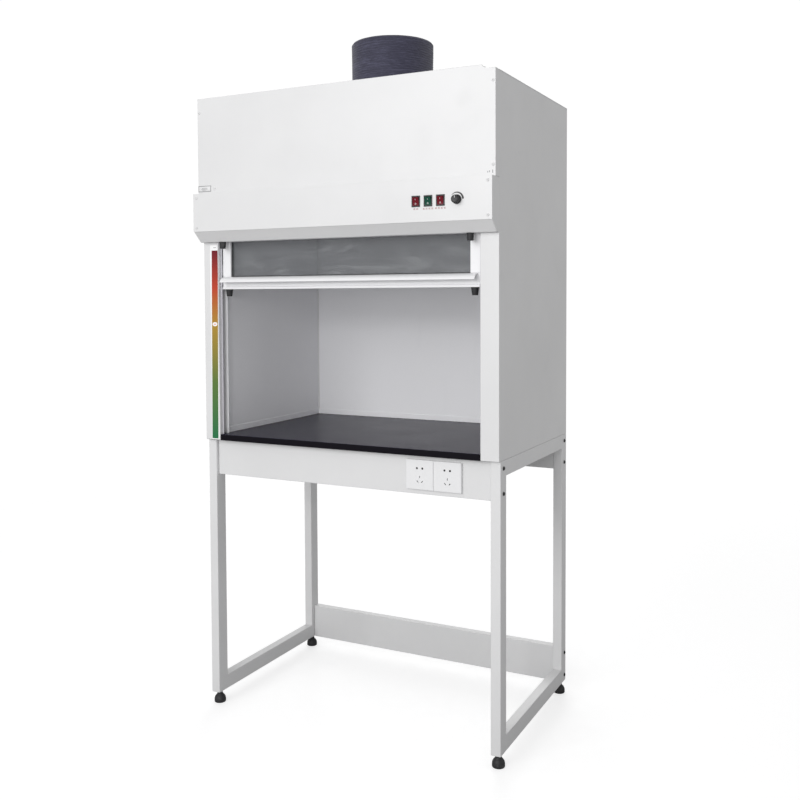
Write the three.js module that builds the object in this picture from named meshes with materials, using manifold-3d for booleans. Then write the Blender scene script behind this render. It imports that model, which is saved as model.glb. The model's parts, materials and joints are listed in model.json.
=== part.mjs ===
// Bench-height fume hood on a welded tube stand: a steel cabinet with a counterweighted glass
// sash, a black worktop, a duct fan in the head and a flexible exhaust sleeve on the roof.
// Millimetres, +Z up, +Y towards the back, origin on the floor in the middle of the outline.

import * as THREE from 'three';
import { mergeVertices } from 'three/addons/utils/BufferGeometryUtils.js';
import Module from 'manifold-3d';

const wasm = await Module();
wasm.setup();

// ---------------------------------------------------------------- driving dimensions
const HALF_WIDTH = 500;
const STAND_DEPTH = 605;
const KNOB_REACH = 81;            // front of the speed knob, ahead of the leg faces
const FLOOR_GAP = 38;             // underside of the legs, above the floor
const STAND_TOP = 865;
const CABINET_TOP = 1930;
const GAP = 0.3;                  // left between neighbours that touch
const FRONT = KNOB_REACH - (KNOB_REACH + STAND_DEPTH) / 2;  // leg faces, in the part's frame

const TUBE = { wide: 30, deep: 45, wall: 2, bottomRail: 46, topRail: 45, screwHole: 5.5 };
const FOOT = { pad: 18.5, stem: 5, stemTop: 90 };
const APRON = { bottom: 752, setBack: 11, lip: 28, sheet: 1.5 };
const REAR_APRON_FACE = 562;
const STRETCHER = { face: 577, top: 155, lip: 26 };
const SHEET = 1.2;

const WORKTOP = { bottom: STAND_TOP + GAP, thick: 19, halfWide: 479, back: 600 };
const WORKTOP_TOP = WORKTOP.bottom + WORKTOP.thick;
const POST = { face: -12, inner: 445, sheet: 1.5, innerReturn: 2, outerReturn: 15 };
const PANEL_FRONT = -10.2;        // front edge of the side panels
const PANEL_FLANGE = 20;

const CANOPY = { face: -61.5, lipFront: -29, lipBack: 1, lipZ: 1493, faceZ: 1525, topZ: 1642 };
const CONTROL = { face: -63, sheet: 1.2, z: 1581.7, rockersX: [275, 312.2, 349.4], knobX: 398.4 };
const UPPER_PANEL = { face: -37, hemTop: 1941, hemEnd: 459, hemFoot: 470, hemBack: 8 };

const LINER = { half: 448, thick: 4, front: 24.3, back: 585, top: 1600, skirt: 18, skirtOut: 1.5 };
const CEILING = { z: LINER.top + GAP, thick: 4, front: 36 };
const TRACK = { front: 2.3, back: 24, web: 479.5, lipInner: 437, sheet: 1.5, top: 1812 };
const TRANSOM = { bottom: 1372, front: 30, thick: 5 };

const SASH = { bottom: 1345, top: 1830, railTop: 1384, half: 439, stile: 30, front: 4.5, back: 21 };
const GLASS = { front: 13, back: 18, inset: 8 };
const BUMPER = { x: 420, y: 12, height: 22.2 };
const STOP = { x: 419.5, y: -21, bottom: 1472 };

const CABLE = { x: 472, y: 13, radius: 1.5 };
const PULLEY = { radius: 45, rim: 49, width: 12, z: 1868, axle: 4 };
const HANGER = { bottom: 1680, top: 1715, outer: 477 };
const WEIGHT = { wide: 32, deep: 60, bottom: 1112, top: 1370, eye: 12 };

const DUCT = { y: 334, radius: 131, wall: 6, bottom: 1934, top: 2131 };
const SPIGOT = { inner: 122.5, outer: 124.5, top: 2010, flange: 146 };
const FAN = { inner: 124, outer: 126, flange: 140, hubZ: 1690, motorZ: 1745, blades: 6 };
const LAMP = { half: 240, front: 60, back: 140, top: 1645 };

const SOCKET = { size: 86, centres: [251.7, 338.3], z: 809, face: 2.5, body: 60, back: 37 };
const SCALE = { left: 476, right: 447, bottom: 868, top: 1484 };
const GLAND = { x: -380, y: 520, neck: 8 };

// ---------------------------------------------------------------- solids
const group = new THREE.Group();

/** Turns a closed three.js geometry into a solid that can be cut and joined. */
function solid(geometry) {
  const bare = geometry.clone();
  bare.deleteAttribute('normal');
  bare.deleteAttribute('uv');
  const merged = mergeVertices(bare, 1e-4);
  const vertProperties = new Float32Array(merged.attributes.position.array);
  const triVerts = new Uint32Array(merged.index.array);
  if (signedVolume(vertProperties, triVerts) < 0) triVerts.reverse();
  return new wasm.Manifold(new wasm.Mesh({ numProp: 3, vertProperties, triVerts }));
}

/** Volume of a triangle mesh: negative when its faces point inwards. */
function signedVolume(xyz, triangles) {
  const corner = (index) => new THREE.Vector3().fromArray(xyz, 3 * index);
  let volume = 0;
  for (let i = 0; i < triangles.length; i += 3) {
    const [a, b, c] = [corner(triangles[i]), corner(triangles[i + 1]), corner(triangles[i + 2])];
    volume += a.dot(b.cross(c)) / 6;
  }
  return volume;
}

/** Adds the finished solid to the assembly as one named, closed mesh. */
function piece(name, body, material) {
  const { vertProperties, triVerts } = body.getMesh();
  const geometry = new THREE.BufferGeometry();
  geometry.setAttribute('position', new THREE.BufferAttribute(new Float32Array(vertProperties), 3));
  geometry.setIndex(new THREE.BufferAttribute(new Uint32Array(triVerts), 1));
  geometry.computeVertexNormals();
  const mesh = new THREE.Mesh(geometry, material);
  mesh.name = name;
  group.add(mesh);
}

const join = (first, ...others) => others.reduce((sum, next) => sum.add(next), first);
const cut = (first, ...tools) => tools.reduce((rest, tool) => rest.subtract(tool), first);

/** A box between two values on each axis, in either order; depths are from the leg faces. */
function slab(x0, x1, d0, d1, z0, z1) {
  const box = new THREE.BoxGeometry(Math.abs(x1 - x0), Math.abs(d1 - d0), Math.abs(z1 - z0));
  return solid(box.translate((x0 + x1) / 2, FRONT + (d0 + d1) / 2, (z0 + z1) / 2));
}

function extrusion(points, length, basis) {
  const shape = new THREE.Shape(points.map(([a, b]) => new THREE.Vector2(a, b)));
  const body = new THREE.ExtrudeGeometry(shape, { depth: length, bevelEnabled: false });
  return body.applyMatrix4(new THREE.Matrix4().makeBasis(...basis));
}

const X = new THREE.Vector3(1, 0, 0);
const Y = new THREE.Vector3(0, 1, 0);
const Z = new THREE.Vector3(0, 0, 1);

/** Outline of [depth, z] points drawn out along X. */
function alongX(outline, x0, x1) {
  return solid(extrusion(outline, x1 - x0, [Y, Z, X]).translate(x0, FRONT, 0));
}

/** Outline of [x, z] points drawn out along Y. */
function alongY(outline, d0, d1) {
  const basis = [X, Z, Y.clone().negate()];
  return solid(extrusion(outline, d1 - d0, basis).translate(0, FRONT + d1, 0));
}

/** Outline of [x, depth] points drawn out along Z. */
function alongZ(outline, z0, z1) {
  return solid(extrusion(outline, z1 - z0, [X, Y, Z]).translate(0, FRONT, z0));
}

/** A [radius, height] outline turned about the vertical line through x and depth d. */
function turned(outline, x, d, segments = 40) {
  const profile = outline.map(([r, z]) => new THREE.Vector2(r, z));
  const body = new THREE.LatheGeometry([...profile, profile[0]], segments);
  return solid(body.rotateX(Math.PI / 2).translate(x, FRONT + d, 0));
}

/** A [radius, offset] outline turned about the line along X through depth d and z. */
function turnedX(outline, x, d, z, segments = 40) {
  const profile = outline.map(([r, along]) => new THREE.Vector2(r, along));
  const body = new THREE.LatheGeometry([...profile, profile[0]], segments);
  return solid(body.rotateZ(-Math.PI / 2).translate(x, FRONT + d, z));
}

/** A [radius, offset] outline turned about the line along Y through x and z. */
function turnedY(outline, x, z, segments = 32) {
  const profile = outline.map(([r, depth]) => new THREE.Vector2(r, depth));
  const body = new THREE.LatheGeometry([...profile, profile[0]], segments);
  return solid(body.translate(x, FRONT, z));
}

const rod = (radius, x, d, z0, z1) => turned([[0, z0], [radius, z0], [radius, z1], [0, z1]], x, d, 24);

/** Both hands of a piece: calls make(-1, 'left') and make(1, 'right'). */
function bothSides(make) {
  make(-1, 'left');
  make(1, 'right');
}

// ---------------------------------------------------------------- finishes
function finish(color, roughness, metalness = 0) {
  return () => new THREE.MeshStandardMaterial({ color, roughness, metalness });
}

const paint = finish(0xe6e6e8, 0.45);
const lining = finish(0xdcdce0, 0.5);
const resin = finish(0x24222e, 0.3);
const aluminium = finish(0xf0f0f2, 0.4, 0.3);
const zinc = finish(0xa8acb0, 0.4, 0.8);
const rubber = finish(0x0c0c0d, 0.8);
const blackPlastic = finish(0x141416, 0.45);
const whitePlastic = finish(0xf2f2f4, 0.35);

/** Clear sheet: the sash and transom panes. */
function clearGlass() {
  const options = { color: 0xcfd6d6, roughness: 0.05, transparent: true, opacity: 0.35 };
  return new THREE.MeshStandardMaterial(options);
}

// ---------------------------------------------------------------- stand
/** One welded end of the stand: two legs, a bottom rail and a top rail of mitred tube. */
function sideFrame(side, name) {
  const outer = side * HALF_WIDTH;
  const inner = side * (HALF_WIDTH - TUBE.wide);
  const { deep, wall, bottomRail, topRail, screwHole } = TUBE;
  const window = slab(outer + side, inner - side, deep, STAND_DEPTH - deep,
    FLOOR_GAP + bottomRail, STAND_TOP - topRail);
  const bore = slab(outer - side * wall, inner + side * wall, wall, STAND_DEPTH - wall,
    FLOOR_GAP + wall, STAND_TOP - wall);
  const core = slab(outer, inner, deep - wall, STAND_DEPTH - deep + wall,
    FLOOR_GAP + bottomRail - wall, STAND_TOP - topRail + wall);
  const block = slab(outer, inner, 0, STAND_DEPTH, FLOOR_GAP, STAND_TOP);
  const holes = legDepths().map((d) => rod(screwHole, legX(side), d, FLOOR_GAP - 5, FLOOR_GAP + 5));
  piece(`side_frame_${name}`, cut(block, window, cut(bore, core), ...holes), paint());
}

const legX = (side) => side * (HALF_WIDTH - TUBE.wide / 2);
const legDepths = () => [TUBE.deep / 2, STAND_DEPTH - TUBE.deep / 2];

/** Domed levelling foot with the stud that screws up into the leg. */
function levellingFoot(side, name, d, place) {
  const { pad, stem, stemTop } = FOOT;
  const outline = [[0, 0], [pad - 1.5, 0], [pad, 2], [pad, 11], [pad - 1.2, 16.5], [14.2, 21.5], [10.4, 25],
    [8.8, 28], [8.8, 30], [stem, 31], [stem, stemTop], [0, stemTop]];
  piece(`levelling_foot_${place}_${name}`, turned(outline, legX(side), d, 24), rubber());
}

/** Folded tray with its open side to the back: the shape of the aprons and the stretcher. */
function tray(face, lip, bottom, top) {
  const half = HALF_WIDTH - TUBE.wide - GAP;
  const t = APRON.sheet;
  const shell = slab(-half, half, face, face + lip, bottom, top);
  return cut(shell, slab(t - half, half - t, face + t, face + lip + 1, bottom + t, top - t));
}

function aprons() {
  const top = STAND_TOP - GAP;
  const hole = SOCKET.body / 2 + 0.5;
  const { setBack, lip, bottom } = APRON;
  const windows = SOCKET.centres.map((x) => slab(x - hole, x + hole, setBack - 1, setBack + 5,
    SOCKET.z - hole, SOCKET.z + hole));
  piece('front_apron', cut(tray(setBack, lip, bottom, top), ...windows), paint());
  piece('rear_apron', tray(REAR_APRON_FACE, lip, bottom, top), paint());
  piece('rear_stretcher', tray(STRETCHER.face, STRETCHER.lip, FLOOR_GAP, STRETCHER.top), paint());
}

// ---------------------------------------------------------------- cabinet shell
/** Resin bench top: its front edge stands between the posts, the rest runs under the tracks. */
function worktop() {
  const { halfWide, back, bottom } = WORKTOP;
  const neck = POST.inner - GAP;
  const step = TRACK.front;
  const outline = [[-neck, POST.face], [neck, POST.face], [neck, step], [halfWide, step],
    [halfWide, back], [-halfWide, back], [-halfWide, step], [-neck, step]];
  piece('worktop', alongZ(outline, bottom, WORKTOP_TOP), resin());
}

/** Side skin with inward flanges at its foot, top and back. */
function sidePanel(side, name) {
  const bottom = STAND_TOP + GAP;
  const top = CABINET_TOP - 1.8;
  const back = STAND_DEPTH - 1.8;
  const skin = slab(side * (HALF_WIDTH - PANEL_FLANGE), side * HALF_WIDTH, PANEL_FRONT, back,
    bottom, top);
  const inside = slab(side * (HALF_WIDTH - PANEL_FLANGE - 1), side * (HALF_WIDTH - SHEET),
    PANEL_FRONT - 1, back - SHEET, bottom + SHEET, top - SHEET);
  piece(`side_panel_${name}`, cut(skin, inside), paint());
}

function backAndRoof() {
  const t = 1.5;
  const back = slab(0.5 - HALF_WIDTH, HALF_WIDTH - 0.5, STAND_DEPTH - t, STAND_DEPTH,
    STAND_TOP + GAP, CABINET_TOP - 1.8);
  piece('back_panel', back, paint());
  const sheet = slab(-HALF_WIDTH, HALF_WIDTH, PANEL_FRONT + 0.4, STAND_DEPTH,
    CABINET_TOP - t, CABINET_TOP);
  const ductHole = turned(disc(122, CABINET_TOP - 5, CABINET_TOP + 5), 0, DUCT.y, 48);
  const glandHole = rod(GLAND.neck + 0.5, GLAND.x, GLAND.y, CABINET_TOP - 5, CABINET_TOP + 5);
  piece('roof_panel', cut(sheet, ductHole, glandHole), paint());
}

const disc = (radius, z0, z1) => [[0, z0], [radius, z0], [radius, z1], [0, z1]];

/** Removable front cover of the head, wrapped round both corners, with a raised hem that slopes off at one end. */
function upperFrontPanel() {
  const { face, hemTop, hemEnd, hemFoot, hemBack } = UPPER_PANEL;
  const bottom = CANOPY.topZ + GAP;
  const wrap = PANEL_FRONT - GAP;
  const t = SHEET;
  const over = CABINET_TOP + GAP;
  const hemOutline = (inset, base) => [[inset - HALF_WIDTH, base], [hemFoot - 1.5 * inset, base],
    [hemFoot - 1.5 * inset, over], [hemEnd - inset / 2, hemTop - inset], [inset - HALF_WIDTH, hemTop - inset]];
  const cover = slab(-HALF_WIDTH, HALF_WIDTH, face, wrap, bottom, CABINET_TOP);
  const neck = alongY(hemOutline(0, CABINET_TOP - 5), face, wrap);
  const hem = cut(alongY(hemOutline(0, CABINET_TOP - 5), face, hemBack),
    slab(-HALF_WIDTH - 1, HALF_WIDTH + 1, wrap, hemBack + 1, CABINET_TOP - 6, over));
  const behind = slab(t - HALF_WIDTH, HALF_WIDTH - t, face + t, wrap + 1, bottom - 1, CABINET_TOP - t);
  const underHem = alongY(hemOutline(t, CABINET_TOP - 9), face + t, hemBack - t);
  piece('upper_front_panel', cut(join(cover, neck, hem), behind, underHem), paint());
}

/** Control box over the sash: a folded shell with a sloping underside, open to the back. */
function canopyShell() {
  const { face, lipFront, lipBack, lipZ, faceZ, topZ } = CANOPY;
  const wrap = PANEL_FRONT - GAP;
  const t = SHEET;
  const outline = [[wrap, lipZ], [lipFront, lipZ], [face, faceZ], [face, topZ], [wrap, topZ]];
  const hollow = [[wrap + 1, lipZ + t], [lipFront + t / 2, lipZ + t], [face + t, faceZ + t / 2],
    [face + t, topZ - t], [wrap + 1, topZ - t]];
  const inner = HALF_WIDTH - t;
  const shell = cut(alongX(outline, -HALF_WIDTH, HALF_WIDTH), alongX(hollow, -inner, inner));
  const lip = slab(GAP - inner, inner - GAP, wrap - 1, lipBack, lipZ, lipZ + t);
  const window = slab(225, 435, face - 1, face + 3, 1548, 1618);
  piece('canopy_shell', cut(join(shell, lip), window), paint());
}

function controlPanel() {
  const { face, sheet, z, rockersX, knobX } = CONTROL;
  const plate = slab(-HALF_WIDTH, HALF_WIDTH, face, face + sheet, CANOPY.faceZ - 0.5, CANOPY.topZ);
  const cuts = rockersX.map((x) => slab(x - 11.5, x + 11.5, face - 1, face + 3, z - 14.2, z + 14.2));
  const knobHole = turnedY([[0, face - 1], [4, face - 1], [4, face + 3], [0, face + 3]], knobX, z);
  piece('control_panel', cut(plate, ...cuts, knobHole), paint());
}

/** Folded corner post beside the sash opening, with a return on each edge. */
function frontPost(side, name) {
  const { face, inner, sheet, innerReturn, outerReturn } = POST;
  const bottom = STAND_TOP + 1.8;
  const top = CANOPY.lipZ - GAP;
  const outer = HALF_WIDTH - SHEET - GAP;
  const front = slab(side * inner, side * HALF_WIDTH, face, face + sheet, bottom, top);
  const inside = slab(side * inner, side * (inner + sheet), face, innerReturn, bottom, top);
  const outside = slab(side * (outer - sheet), side * outer, face, outerReturn, bottom, top);
  piece(`front_post_${name}`, join(front, inside, outside), paint());
}

/** Channel that guides one edge of the sash, open towards the middle. */
function sashTrack(side, name) {
  const { front, back, web, lipInner, sheet, top } = TRACK;
  const bottom = WORKTOP_TOP + GAP;
  const frontWall = slab(side * (POST.inner + sheet), side * web, front, front + sheet, bottom, top);
  const wall = slab(side * (web - sheet), side * web, front, back, bottom, top);
  const rearWall = slab(side * lipInner, side * web, back - sheet, back, bottom, top);
  piece(`sash_track_${name}`, join(frontWall, wall, rearWall), aluminium());
}

// ---------------------------------------------------------------- chamber lining
function sideLiner(side, name) {
  const { half, thick, front, back, top, skirt, skirtOut } = LINER;
  const bottom = WORKTOP_TOP + GAP;
  const board = slab(side * half, side * (half + thick), front, back + thick, bottom, top);
  const foot = slab(side * (half - skirtOut), side * half, front, back - skirtOut - GAP,
    bottom, bottom + skirt);
  piece(`liner_${name}`, join(board, foot), lining());
}

function backLinerAndCeiling() {
  const { half, thick, back, top, skirt, skirtOut } = LINER;
  const bottom = WORKTOP_TOP + GAP;
  const inside = half - GAP;
  const board = slab(-inside, inside, back, back + thick, bottom, top);
  const foot = slab(-inside, inside, back - skirtOut, back, bottom, bottom + skirt);
  piece('liner_back', join(board, foot), lining());
  const outer = half + thick;
  const ceiling = slab(-outer, outer, CEILING.front, back + thick, CEILING.z, CEILING.z + thick);
  const outlet = turned(disc(122, CEILING.z - 5, CEILING.z + 9), 0, DUCT.y, 48);
  const lampSlot = slab(5 - LAMP.half, LAMP.half - 5, LAMP.front + 5, LAMP.back - 5,
    CEILING.z - 5, CEILING.z + 9);
  piece('ceiling_liner', cut(ceiling, outlet, lampSlot), lining());
}

/** Fixed pane behind the sash, from under the canopy up to the ceiling. */
function transomGlass() {
  const half = LINER.half - GAP;
  const { bottom, front, thick } = TRANSOM;
  piece('transom_glass', slab(-half, half, front, front + thick, bottom, CEILING.z + 4), clearGlass());
}

function lampHousing() {
  const { half, front, back, top } = LAMP;
  const bottom = CEILING.z + CEILING.thick + GAP;
  const shell = slab(-half, half, front, back, bottom, top);
  const hollow = slab(1.5 - half, half - 1.5, front + 1.5, back - 1.5, bottom - 1, top - 1.5);
  piece('lamp_housing', cut(shell, hollow), paint());
}

// ---------------------------------------------------------------- sash
/** Upright of the sash frame, grooved for the glass, with the cable hanger that fills the track. */
function sashStile(side, name) {
  const { half, stile, front, back, railTop, top } = SASH;
  const bar = slab(side * (half - stile), side * half, front, back, railTop + GAP, top);
  const groove = slab(side * (half - stile - 1), side * (half - stile + GLASS.inset + GAP),
    GLASS.front - GAP, GLASS.back + GAP, railTop - 1, top - 22 + GAP);
  const hanger = slab(side * half, side * HANGER.outer, front + 1.5, back - 1,
    HANGER.bottom, HANGER.top);
  const shoe = slab(side * half, side * HANGER.outer, front + 1.5, back - 1,
    railTop + 6, railTop + 36);
  piece(`sash_stile_${name}`, cut(join(bar, hanger, shoe), groove), aluminium());
}

/** Bottom rail of the sash: a hollow extrusion with a curved finger lip along its top. */
function sashHandleRail() {
  const { bottom, railTop, half, front, back } = SASH;
  const tip = { d: -24, z: bottom + 22 };
  const thick = 3;
  const upper = lipCurve(front, railTop, tip);
  const lower = lipCurve(front, railTop - thick, { d: tip.d + 2, z: tip.z - 1.4 }).reverse();
  const outline = [[back, bottom], [back, railTop], [GLASS.back + GAP, railTop],
    [GLASS.back + GAP, railTop - GLASS.inset], [GLASS.front - GAP, railTop - GLASS.inset],
    [GLASS.front - GAP, railTop], ...upper, ...lower,
    [front, bottom + 8], [front - 3.5, bottom + 6.5], [front - 3.5, bottom]];
  const bore = [[back - 2.5, bottom + 3], [back - 2.5, railTop - 12],
    [front + 2.5, railTop - 12], [front + 2.5, bottom + 3]];
  const bar = cut(alongX(outline, -half, half), alongX(bore, -half - 1, half + 1));
  const ends = [-1, 1].map((side) => slab(side * 432, side * (half + 1), tip.d - 3, front,
    bottom + 12, railTop + 9));
  piece('sash_handle_rail', cut(bar, ...ends), aluminium());
}

/** A quarter-wave from the rail's face out and down to the tip of the finger lip. */
function lipCurve(d0, z0, tip) {
  const steps = 6;
  return Array.from({ length: steps + 1 }, (_, i) => {
    const turn = (i / steps) * (Math.PI / 2);
    const out = Math.sin(turn) * 0.75 + (i / steps) * 0.25;
    return [d0 + (tip.d - d0) * out, z0 + (tip.z - z0) * (1 - Math.cos(turn))];
  });
}

function sashTopRailAndGlass() {
  const { half, stile, front, back, railTop, top } = SASH;
  const inner = half - stile - GAP;
  const bar = slab(-inner, inner, front, back, top - 30, top);
  const groove = slab(-inner - 1, inner + 1, GLASS.front - GAP, GLASS.back + GAP, top - 31, top - 22 + GAP);
  piece('sash_top_rail', cut(bar, groove), aluminium());
  const reach = half - stile + GLASS.inset;
  const pane = slab(-reach, reach, GLASS.front, GLASS.back, railTop - GLASS.inset + GAP, top - 22);
  piece('sash_glass', pane, clearGlass());
}

/** Rubber buffers: one pair under the sash, one pair under the canopy that stops its lip. */
function buffers(side, name) {
  const top = SASH.bottom - GAP;
  const foot = top - BUMPER.height;
  const taper = [[0, foot], [8.5, foot], [9.5, foot + 1.5], [11.5, top], [0, top]];
  piece(`sash_bumper_${name}`, turned(taper, side * BUMPER.x, BUMPER.y, 24), rubber());
  const under = CANOPY.lipZ - GAP;
  const block = [[0, STOP.bottom], [9, STOP.bottom], [9.8, STOP.bottom + 1.5], [10.5, under], [0, under]];
  piece(`sash_stop_${name}`, turned(block, side * STOP.x, STOP.y, 24), rubber());
}

// ---------------------------------------------------------------- counterbalance
const pulleyDepth = CABLE.y + PULLEY.radius;
const weightDepth = CABLE.y + 2 * PULLEY.radius;

function pulley(side, name) {
  const { radius, rim, width, z, axle } = PULLEY;
  const w = width / 2;
  const groove = radius - CABLE.radius - 1;
  const outline = [[axle + GAP, -w], [rim, -w], [rim, -w + 2], [groove, -2.2], [groove, 2.2],
    [rim, w - 2], [rim, w], [axle + GAP, w]];
  const wheel = turnedX(outline, side * CABLE.x, pulleyDepth, z, 32);
  const holes = Array.from({ length: 5 }, (_, i) => {
    const turn = (i / 5) * 2 * Math.PI;
    const hole = [[0, -w - 1], [8, -w - 1], [8, w + 1], [0, w + 1]];
    return turnedX(hole, side * CABLE.x, pulleyDepth + 25 * Math.cos(turn), z + 25 * Math.sin(turn), 10);
  });
  piece(`sash_pulley_${name}`, cut(wheel, ...holes), blackPlastic());
}

/** Flat beam under the roof with a fork and an axle pin for the pulley at each end. */
function pulleyBeam() {
  const { width, z, axle } = PULLEY;
  const near = CABLE.x - width / 2 - 2.5;
  const far = CABLE.x + width / 2 + 2.5;
  const parts = [slab(-far - 2.5, far + 2.5, pulleyDepth - 18, pulleyDepth + 18, z + 52, z + 58.7)];
  parts.push(slab(-430, 430, pulleyDepth - 18, pulleyDepth + 18, z + 58, CABINET_TOP - 1.8));
  bothSides((side) => {
    for (const x of [near - 2.5, far]) {
      parts.push(slab(side * x, side * (x + 2.5), pulleyDepth - 12, pulleyDepth + 12, z - 10, z + 53));
    }
    const pin = [[0, near - 1], [axle, near - 1], [axle, far + 1], [0, far + 1]];
    parts.push(turnedX(pin.map(([r, along]) => [r, side * along]), 0, pulleyDepth, z, 24));
  });
  piece('pulley_beam', join(...parts), zinc());
}

function counterweight(side, name) {
  const { wide, deep, bottom, top, eye } = WEIGHT;
  const x = side * CABLE.x;
  const block = slab(x - wide / 2, x + wide / 2, weightDepth - deep / 2, weightDepth + deep / 2, bottom, top);
  piece(`counterweight_${name}`, join(block, rod(5, x, weightDepth, top - 1, top + eye)), zinc());
}

/** Wire rope from the sash hanger up over the pulley and down to the counterweight. */
function sashCable(side, name) {
  const { x, y, radius } = CABLE;
  const spot = (d, z) => new THREE.Vector3(side * x, FRONT + d, z);
  const points = [HANGER.top + GAP, HANGER.top + 50, PULLEY.z - 60, PULLEY.z - 20].map((z) => spot(y, z));
  const turns = 16;
  for (let i = 0; i <= turns; i += 1) {
    const turn = Math.PI * (1 - i / turns);
    points.push(spot(pulleyDepth + PULLEY.radius * Math.cos(turn), PULLEY.z + PULLEY.radius * Math.sin(turn)));
  }
  const low = WEIGHT.top + WEIGHT.eye + GAP;
  for (const z of [PULLEY.z - 20, PULLEY.z - 60, low + 200, low + 100, low]) {
    points.push(spot(weightDepth, z));
  }
  const section = new THREE.Shape().absarc(0, 0, radius, 0, 2 * Math.PI);
  const path = new THREE.CatmullRomCurve3(points, false, 'centripetal');
  const options = { extrudePath: path, steps: 48, curveSegments: 4, bevelEnabled: false };
  piece(`sash_cable_${name}`, solid(new THREE.ExtrudeGeometry(section, options)), zinc());
}

// ---------------------------------------------------------------- fan and duct
function fan() {
  const bottom = CEILING.z + CEILING.thick + GAP;
  const top = CABINET_TOP - 1.8;
  const { inner, outer, flange, hubZ, motorZ, blades } = FAN;
  const tube = [[inner, bottom], [flange, bottom], [flange, bottom + 2], [outer, bottom + 2],
    [outer, top - 2], [flange, top - 2], [flange, top], [inner, top]];
  piece('fan_housing', turned(tube, 0, DUCT.y, 48), zinc());

  const can = [[0, hubZ + 8], [5, hubZ + 8], [5, motorZ], [38, motorZ], [42, motorZ + 4],
    [42, motorZ + 90], [34, motorZ + 98], [0, motorZ + 98]];
  const reach = inner - GAP;
  const arms = [
    slab(-reach, reach, DUCT.y - 1.5, DUCT.y + 1.5, motorZ + 20, motorZ + 50),
    slab(-1.5, 1.5, DUCT.y - reach, DUCT.y + reach, motorZ + 20, motorZ + 50),
  ];
  const trim = turned([[0, motorZ], [reach, motorZ], [reach, motorZ + 60], [0, motorZ + 60]], 0, DUCT.y, 48);
  piece('fan_motor', join(turned(can, 0, DUCT.y), join(...arms).intersect(trim)), zinc());

  const hub = [[5.4, hubZ + 4], [5.4, hubZ + 44], [30, hubZ + 44], [34, hubZ + 38], [34, hubZ + 8],
    [22, hubZ - 4], [5.4, hubZ - 8]];
  const vanes = Array.from({ length: blades }, (_, i) => fanBlade((i / blades) * 2 * Math.PI));
  piece('fan_impeller', join(turned(hub, 0, DUCT.y), ...vanes), blackPlastic());
}

/** One pitched blade, from inside the hub's rim out to just short of the housing. */
function fanBlade(turn) {
  const root = 28;
  const tip = 118;
  const plate = new THREE.BoxGeometry(tip - root, 62, 3, 4, 1, 1);
  const position = plate.attributes.position;
  for (let i = 0; i < position.count; i += 1) {
    const along = (position.getX(i) + (tip - root) / 2) / (tip - root);
    const pitch = THREE.MathUtils.degToRad(40 - 14 * along);
    const spot = new THREE.Vector3(0, position.getY(i) * (0.62 + 0.38 * along), position.getZ(i));
    spot.applyAxisAngle(X, pitch);
    position.setY(i, spot.y);
    position.setZ(i, spot.z);
  }
  plate.translate((tip + root) / 2, 0, 0).rotateZ(turn);
  return solid(plate.translate(0, FRONT + DUCT.y, FAN.hubZ + 21));
}

function duct() {
  const base = CABINET_TOP + GAP;
  const { inner, outer, top, flange } = SPIGOT;
  const collar = [[inner, base], [flange, base], [flange, base + 2], [outer, base + 2], [outer, top], [inner, top]];
  piece('duct_spigot', turned(collar, 0, DUCT.y, 48), zinc());
  const { radius, wall } = DUCT;
  const sleeve = [[radius - wall, DUCT.bottom], [radius, DUCT.bottom], [radius, DUCT.top], [radius - wall, DUCT.top]];
  piece('duct_sleeve', turned(sleeve, 0, DUCT.y, 48), rubber());
  const { x, y, neck } = GLAND;
  const gland = [[4, base - 14], [neck, base - 14], [neck, base], [13, base], [13, base + 7],
    [11, base + 9], [11, base + 20], [7, base + 26], [4, base + 26]];
  piece('cable_gland', turned(gland, x, y, 24), blackPlastic());
}

// ---------------------------------------------------------------- controls
const ROCKER = { pivot: -62.5, tilt: THREE.MathUtils.degToRad(11) };

/** Snap-in switch body with a bezel round the pocket that the rocker tips in. */
function switchHousing(name, x) {
  const { face, z } = CONTROL;
  const rim = slab(x - 12.75, x + 12.75, face - 2, face - GAP, z - 15.5, z + 15.5);
  const body = slab(x - 11.2, x + 11.2, face - 1, face + 22, z - 13.9, z + 13.9);
  const pocket = slab(x - 9.8, x + 9.8, face - 3, face + 14, z - 12.35, z + 12.35);
  const blades = [-7, 7].map((dz) => slab(x - 3.2, x + 3.2, face + 21, face + 31, z + dz - 0.5, z + dz + 0.5));
  piece(`switch_housing_${name}`, cut(join(rim, body, ...blades), pocket), blackPlastic());
}

/** Rocker resting with its lower half pressed in: two facets that meet over the pivot. */
function rocker(name, x, color) {
  const neutral = [[3, 0], [5.3, 11.2], [0, 12], [-4, 8], [-7, 3.5], [-7, -3.5], [-4, -8], [0, -12],
    [5.3, -11.2]];
  const { pivot, tilt } = ROCKER;
  const outline = neutral.map(([out, up]) => [
    pivot - (out * Math.cos(tilt) + up * Math.sin(tilt)),
    CONTROL.z + (up * Math.cos(tilt) - out * Math.sin(tilt)),
  ]);
  piece(`rocker_${name}`, alongX(outline, x - 9.4, x + 9.4), finish(color, 0.25)());
}

function switches() {
  const labels = [['fan', 0xa01820], ['lamp', 0x0e7a50], ['socket', 0xa01820]];
  labels.forEach(([name, color], i) => {
    switchHousing(name, CONTROL.rockersX[i]);
    rocker(name, CONTROL.rockersX[i], color);
  });
}

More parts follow.
